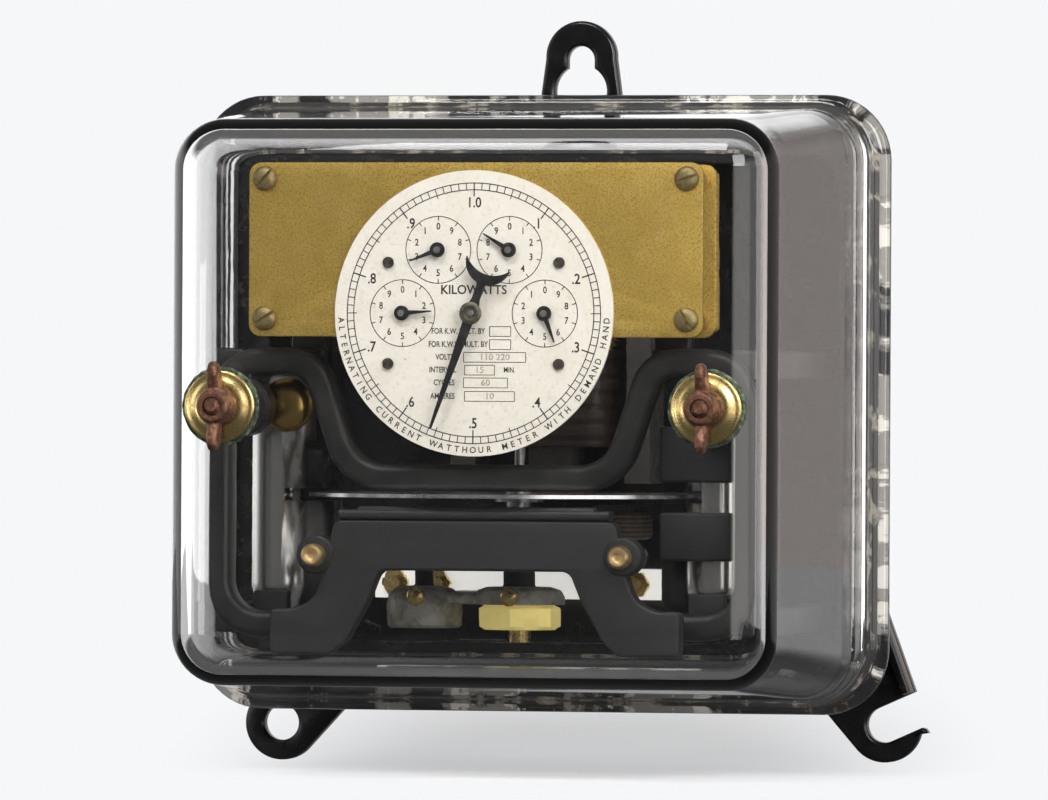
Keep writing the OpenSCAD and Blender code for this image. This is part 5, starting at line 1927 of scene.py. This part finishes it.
    def words(self, print_: Lettering, built: BMesh, stamps: BMesh) -> None:
        """Prints the plain words below the middle and round the foot of the dial."""
        x, z = self.centre
        print_.put(built, "KILOWATTS", 2.5, x, z + 6.2, squeeze=0.95)
        rows = [
            ("FOR K.W. MULT. BY", -4.2, -4.8, 4.4, 10.2, ""),
            ("FOR K.W.H. MULT. BY", -4.2, -8.3, 4.4, 10.2, ""),
            ("VOLTS", -7.9, -11.7, -2.7, 14.3, "110 220"),
            ("INTERVAL", -8.4, -15.1, -2.4, 5.8, "15"),
            ("CYCLES", -8.0, -18.5, -2.7, 9.4, "60"), ("AMPERES", -8.4, -22.1, -2.4, 11.3, "10"),
        ]
        for label, middle, row, left, right, stamp in rows:
            print_.put(built, label, 1.6, x + middle, z + row, squeeze=0.76)
            print_.frame(built, (x + left, z + row - 1.3), (x + right, z + row + 1.3), 0.18)
            if stamp:
                print_.put(stamps, stamp, 1.7, x + (left + right) / 2, z + row, squeeze=1.1)
        print_.put(built, "MIN.", 1.45, x + 9.9, z - 15.1, squeeze=0.8)
        legend = "ALTERNATING CURRENT WATTHOUR METER WITH DEMAND HAND"
        for i, letter in enumerate(legend):
            angle = 183 + 174 * i / (len(legend) - 1)
            print_.put(built, letter, 1.7, *polar(self.centre, 36.5, angle), lean=angle - 270,
                       squeeze=0.95)

    def build(self) -> None:
        """Makes the register's pieces."""
        for name, half_tab in (("front_plate", 27.0), ("rear_plate", 16.0)):
            low, high = node_span(f"register_{name}")
            made = self.plate_at(name, low.y, high.y - low.y, (half_tab, 0.0))
            settle(made, PLATE_BRASS, "base", [f"register_{name}"])
        settle(self.screws(), SCREW_BRASS, "base", ["register_screws"])
        settle(self.demand_hand(), HAND_BLACK, "hand", ["demand_hand"])
        settle(self.hand_spindle(), BRIGHT_STEEL, "hand", ["hand_arbor"])
        settle(self.hand_collar(), OLD_BRONZE, "hand")
        print_ = Lettering(self.dial_front + 0.01)
        built, stamps = bmesh.new(), bmesh.new()
        self.scale_ring(print_, built)
        ways = (Way.ANTICLOCKWISE, Way.CLOCKWISE, Way.ANTICLOCKWISE, Way.CLOCKWISE)
        for spot, way in zip(self.spots(), ways):
            self.small_dial(print_, built, spot, way)
        self.words(print_, built, stamps)
        settle(from_bmesh("dial_print", built), INK, "base")
        settle(from_bmesh("dial_stamps", stamps), STAMP, "base")


# ---------------------------------------------------------------- the studio


@dataclass
class Lamp:
    """A soft rectangular lamp, placed by its bearing from the object."""

    name: str
    azimuth: float
    elevation: float
    distance: float
    size: Point
    power: float
    colour: Colour = (1.0, 1.0, 1.0)

    def build(self, target: Vector) -> None:
        """Makes the lamp and turns it to the target."""
        data = bpy.data.lights.new(self.name, "AREA")
        data.shape = "RECTANGLE"
        data.size, data.size_y = self.size
        data.energy = self.power
        data.color = self.colour
        lamp = bpy.data.objects.new(self.name, data)
        lamp.visible_transmission = False
        bpy.context.scene.collection.objects.link(lamp)
        around, up = math.radians(self.azimuth), math.radians(self.elevation)
        away = Vector((math.sin(around) * math.cos(up), -math.cos(around) * math.cos(up),
                       math.sin(up)))
        lamp.location = target + away * self.distance
        lamp.rotation_euler = (target - lamp.location).to_track_quat("-Z", "Y").to_euler()


@dataclass
class Studio:
    """The camera, the lamps, the floor and the surroundings."""

    target: Vector = field(default_factory=lambda: Vector((0.0004, -0.072, 0.0009)))
    azimuth: float = 13.4
    distance: float = 3.0535
    lens: float = 386.8
    roll: float = 0.3
    floor: float = -0.1012
    floor_glow: float = 0.5
    pale: Colour = (0.922, 0.93, 0.947)
    behind_left: Colour = (1.35, 1.36, 1.37)
    behind_right: Colour = (0.58, 0.53, 0.505)
    in_front: Colour = (0.05, 0.05, 0.051)
    window: Colour = (1.8, 1.77, 1.73)
    overhead: Colour = (0.12, 0.117, 0.114)
    lamps: tuple[Lamp, ...] = (
        Lamp("lamp_top", -8, 52, 1.5, (0.55, 0.4), 8.2),
        Lamp("lamp_left", -62, 14, 1.2, (0.3, 0.9), 2.0),
        Lamp("lamp_right", 80, 14, 1.2, (0.35, 0.9), 4.0),
        Lamp("lamp_near", 36, 24, 0.55, (0.2, 0.2), 1.15),
        Lamp("lamp_low", -38, -2, 1.2, (0.3, 0.2), 0.9),
    )

    def camera(self) -> None:
        """Makes the camera, level and to the right of the object."""
        data = bpy.data.cameras.new("camera")
        data.lens = self.lens
        data.sensor_width = 36.0
        data.clip_end = 50.0
        camera = bpy.data.objects.new("camera", data)
        bpy.context.scene.collection.objects.link(camera)
        around = math.radians(self.azimuth)
        camera.location = self.target + Vector((math.sin(around), -math.cos(around),
                                                0)) * self.distance
        turned = Matrix.Rotation(around, 4, "Z") @ Matrix.Rotation(math.pi / 2, 4, "X")
        camera.rotation_euler = (turned @ Matrix.Rotation(math.radians(self.roll), 4,
                                                          "Z")).to_euler()
        bpy.context.scene.camera = camera

    def floor_sheet(self) -> Piece:
        """The floor's sheet, flat in front of the object and rising in a round sweep behind it."""
        half, flat, radius = 800.0, -10.0, 900.0
        profile = [(-700.0, 0.0), (flat, 0.0)]
        for degrees in range(1, 9):
            angle = math.radians(degrees)
            profile.append((flat + radius * math.sin(angle), radius - radius * math.cos(angle)))
        profile.append((360.0, 43.0))
        built = bmesh.new()
        rows = [[built.verts.new((x, y, self.floor / MM + z)) for x in (-half, half)]
                for y, z in profile]
        for near, far in zip(rows, rows[1:]):
            built.faces.new((near[0], near[1], far[1], far[0]))
        return from_bmesh("floor", built)

    def floor_finish(self) -> Material:
        """A dull white that melts into the background away from the object.

        What the glass sees of it is darker than what the camera sees, and darkest in front.

        Returns:
            The material.
        """
        made = bpy.data.materials.new("studio floor")
        made.use_nodes = True
        shade = Shade(made.node_tree)
        near = made.node_tree.nodes["Principled BSDF"]
        near.inputs["Roughness"].default_value = 1.0
        near.inputs["Specular IOR Level"].default_value = 0.0
        near.inputs["Emission Color"].default_value = (*self.pale, 1.0)
        where = shade.node("ShaderNodeTexCoord")
        place = shade.mapped(where.outputs["Object"], Location=(0.0, -0.05, 0.0),
                             Rotation=(0.0, 0.0, -math.radians(self.azimuth)))
        behind = shade.ramp(shade.axes(place)[1], -0.07, 0.05)
        seen = shade.node("ShaderNodeLightPath").outputs["Is Camera Ray"]
        shade.link(shade.mix(seen, (0.1, 0.1, 0.1), (0.5, 0.5, 0.5)), near.inputs["Base Color"])
        shade.link(shade.blend(seen, shade.blend(behind, 0.03, 0.5), self.floor_glow),
                   near.inputs["Emission Strength"])
        far = shade.node("ShaderNodeEmission")
        far.inputs["Color"].default_value = (*self.pale, 1.0)
        shade.link(shade.blend(seen, shade.blend(behind, 0.1, 0.6), 1.0), far.inputs["Strength"])
        away = shade.node("ShaderNodeVectorMath", operation="LENGTH")
        shade.link(shade.mapped(place, Scale=(2.3, 1.0, 1.0)), away.inputs[0])
        mixed = shade.node("ShaderNodeMixShader")
        shade.link(shade.ramp(away.outputs["Value"], 0.13, 0.3), mixed.inputs[0])
        shade.link(near.outputs[0], mixed.inputs[1])
        shade.link(far.outputs[0], mixed.inputs[2])
        shade.link(mixed.outputs[0], made.node_tree.nodes["Material Output"].inputs["Surface"])
        return made

    def world(self) -> None:
        """Makes the surroundings: bright behind the object and dark behind the camera."""
        world = bpy.data.worlds.new("studio")
        bpy.context.scene.world = world
        world.use_nodes = True
        shade = Shade(world.node_tree)
        where = shade.node("ShaderNodeTexCoord")
        right, away, up = shade.axes(where.outputs["Generated"])
        behind = shade.mix(shade.ramp(right, 0.0, 0.2), self.behind_left, self.behind_right)
        level = shade.mix(shade.ramp(away, -0.35, 0.35), self.in_front, behind)
        window = shade.math("MULTIPLY", shade.ramp(right, 0.3, 0.45),
                            shade.ramp(away, -0.15, -0.35))
        level = shade.mix(window, level, self.window)
        steep = shade.ramp(shade.math("ABSOLUTE", up), 0.2, 0.5)
        colour = shade.mix(steep, level, self.overhead)
        path = shade.node("ShaderNodeLightPath")
        seen = shade.mix(path.outputs["Is Camera Ray"], colour, self.pale)
        shade.link(seen, world.node_tree.nodes["Background"].inputs["Color"])

    def build(self) -> None:
        """Makes the studio."""
        self.camera()
        floor = self.floor_sheet()
        floor.data.materials.append(self.floor_finish())
        self.world()
        for lamp in self.lamps:
            lamp.build(self.target)
        view = bpy.context.scene.view_settings
        view.view_transform = "Standard"
        view.look = "None"


def main() -> None:
    """Builds the studio and the meter's sub-assemblies in order."""
    logging.basicConfig(level=logging.INFO, format="%(name)s: %(message)s")
    Studio().build()
    dress_frame_nodes()
    for assembly in (Base(), Works(), Coils(), Register(), Cover()):
        assembly.build()
        LOG.info("built %s", type(assembly).__name__)


if __name__ == "__main__":
    main()
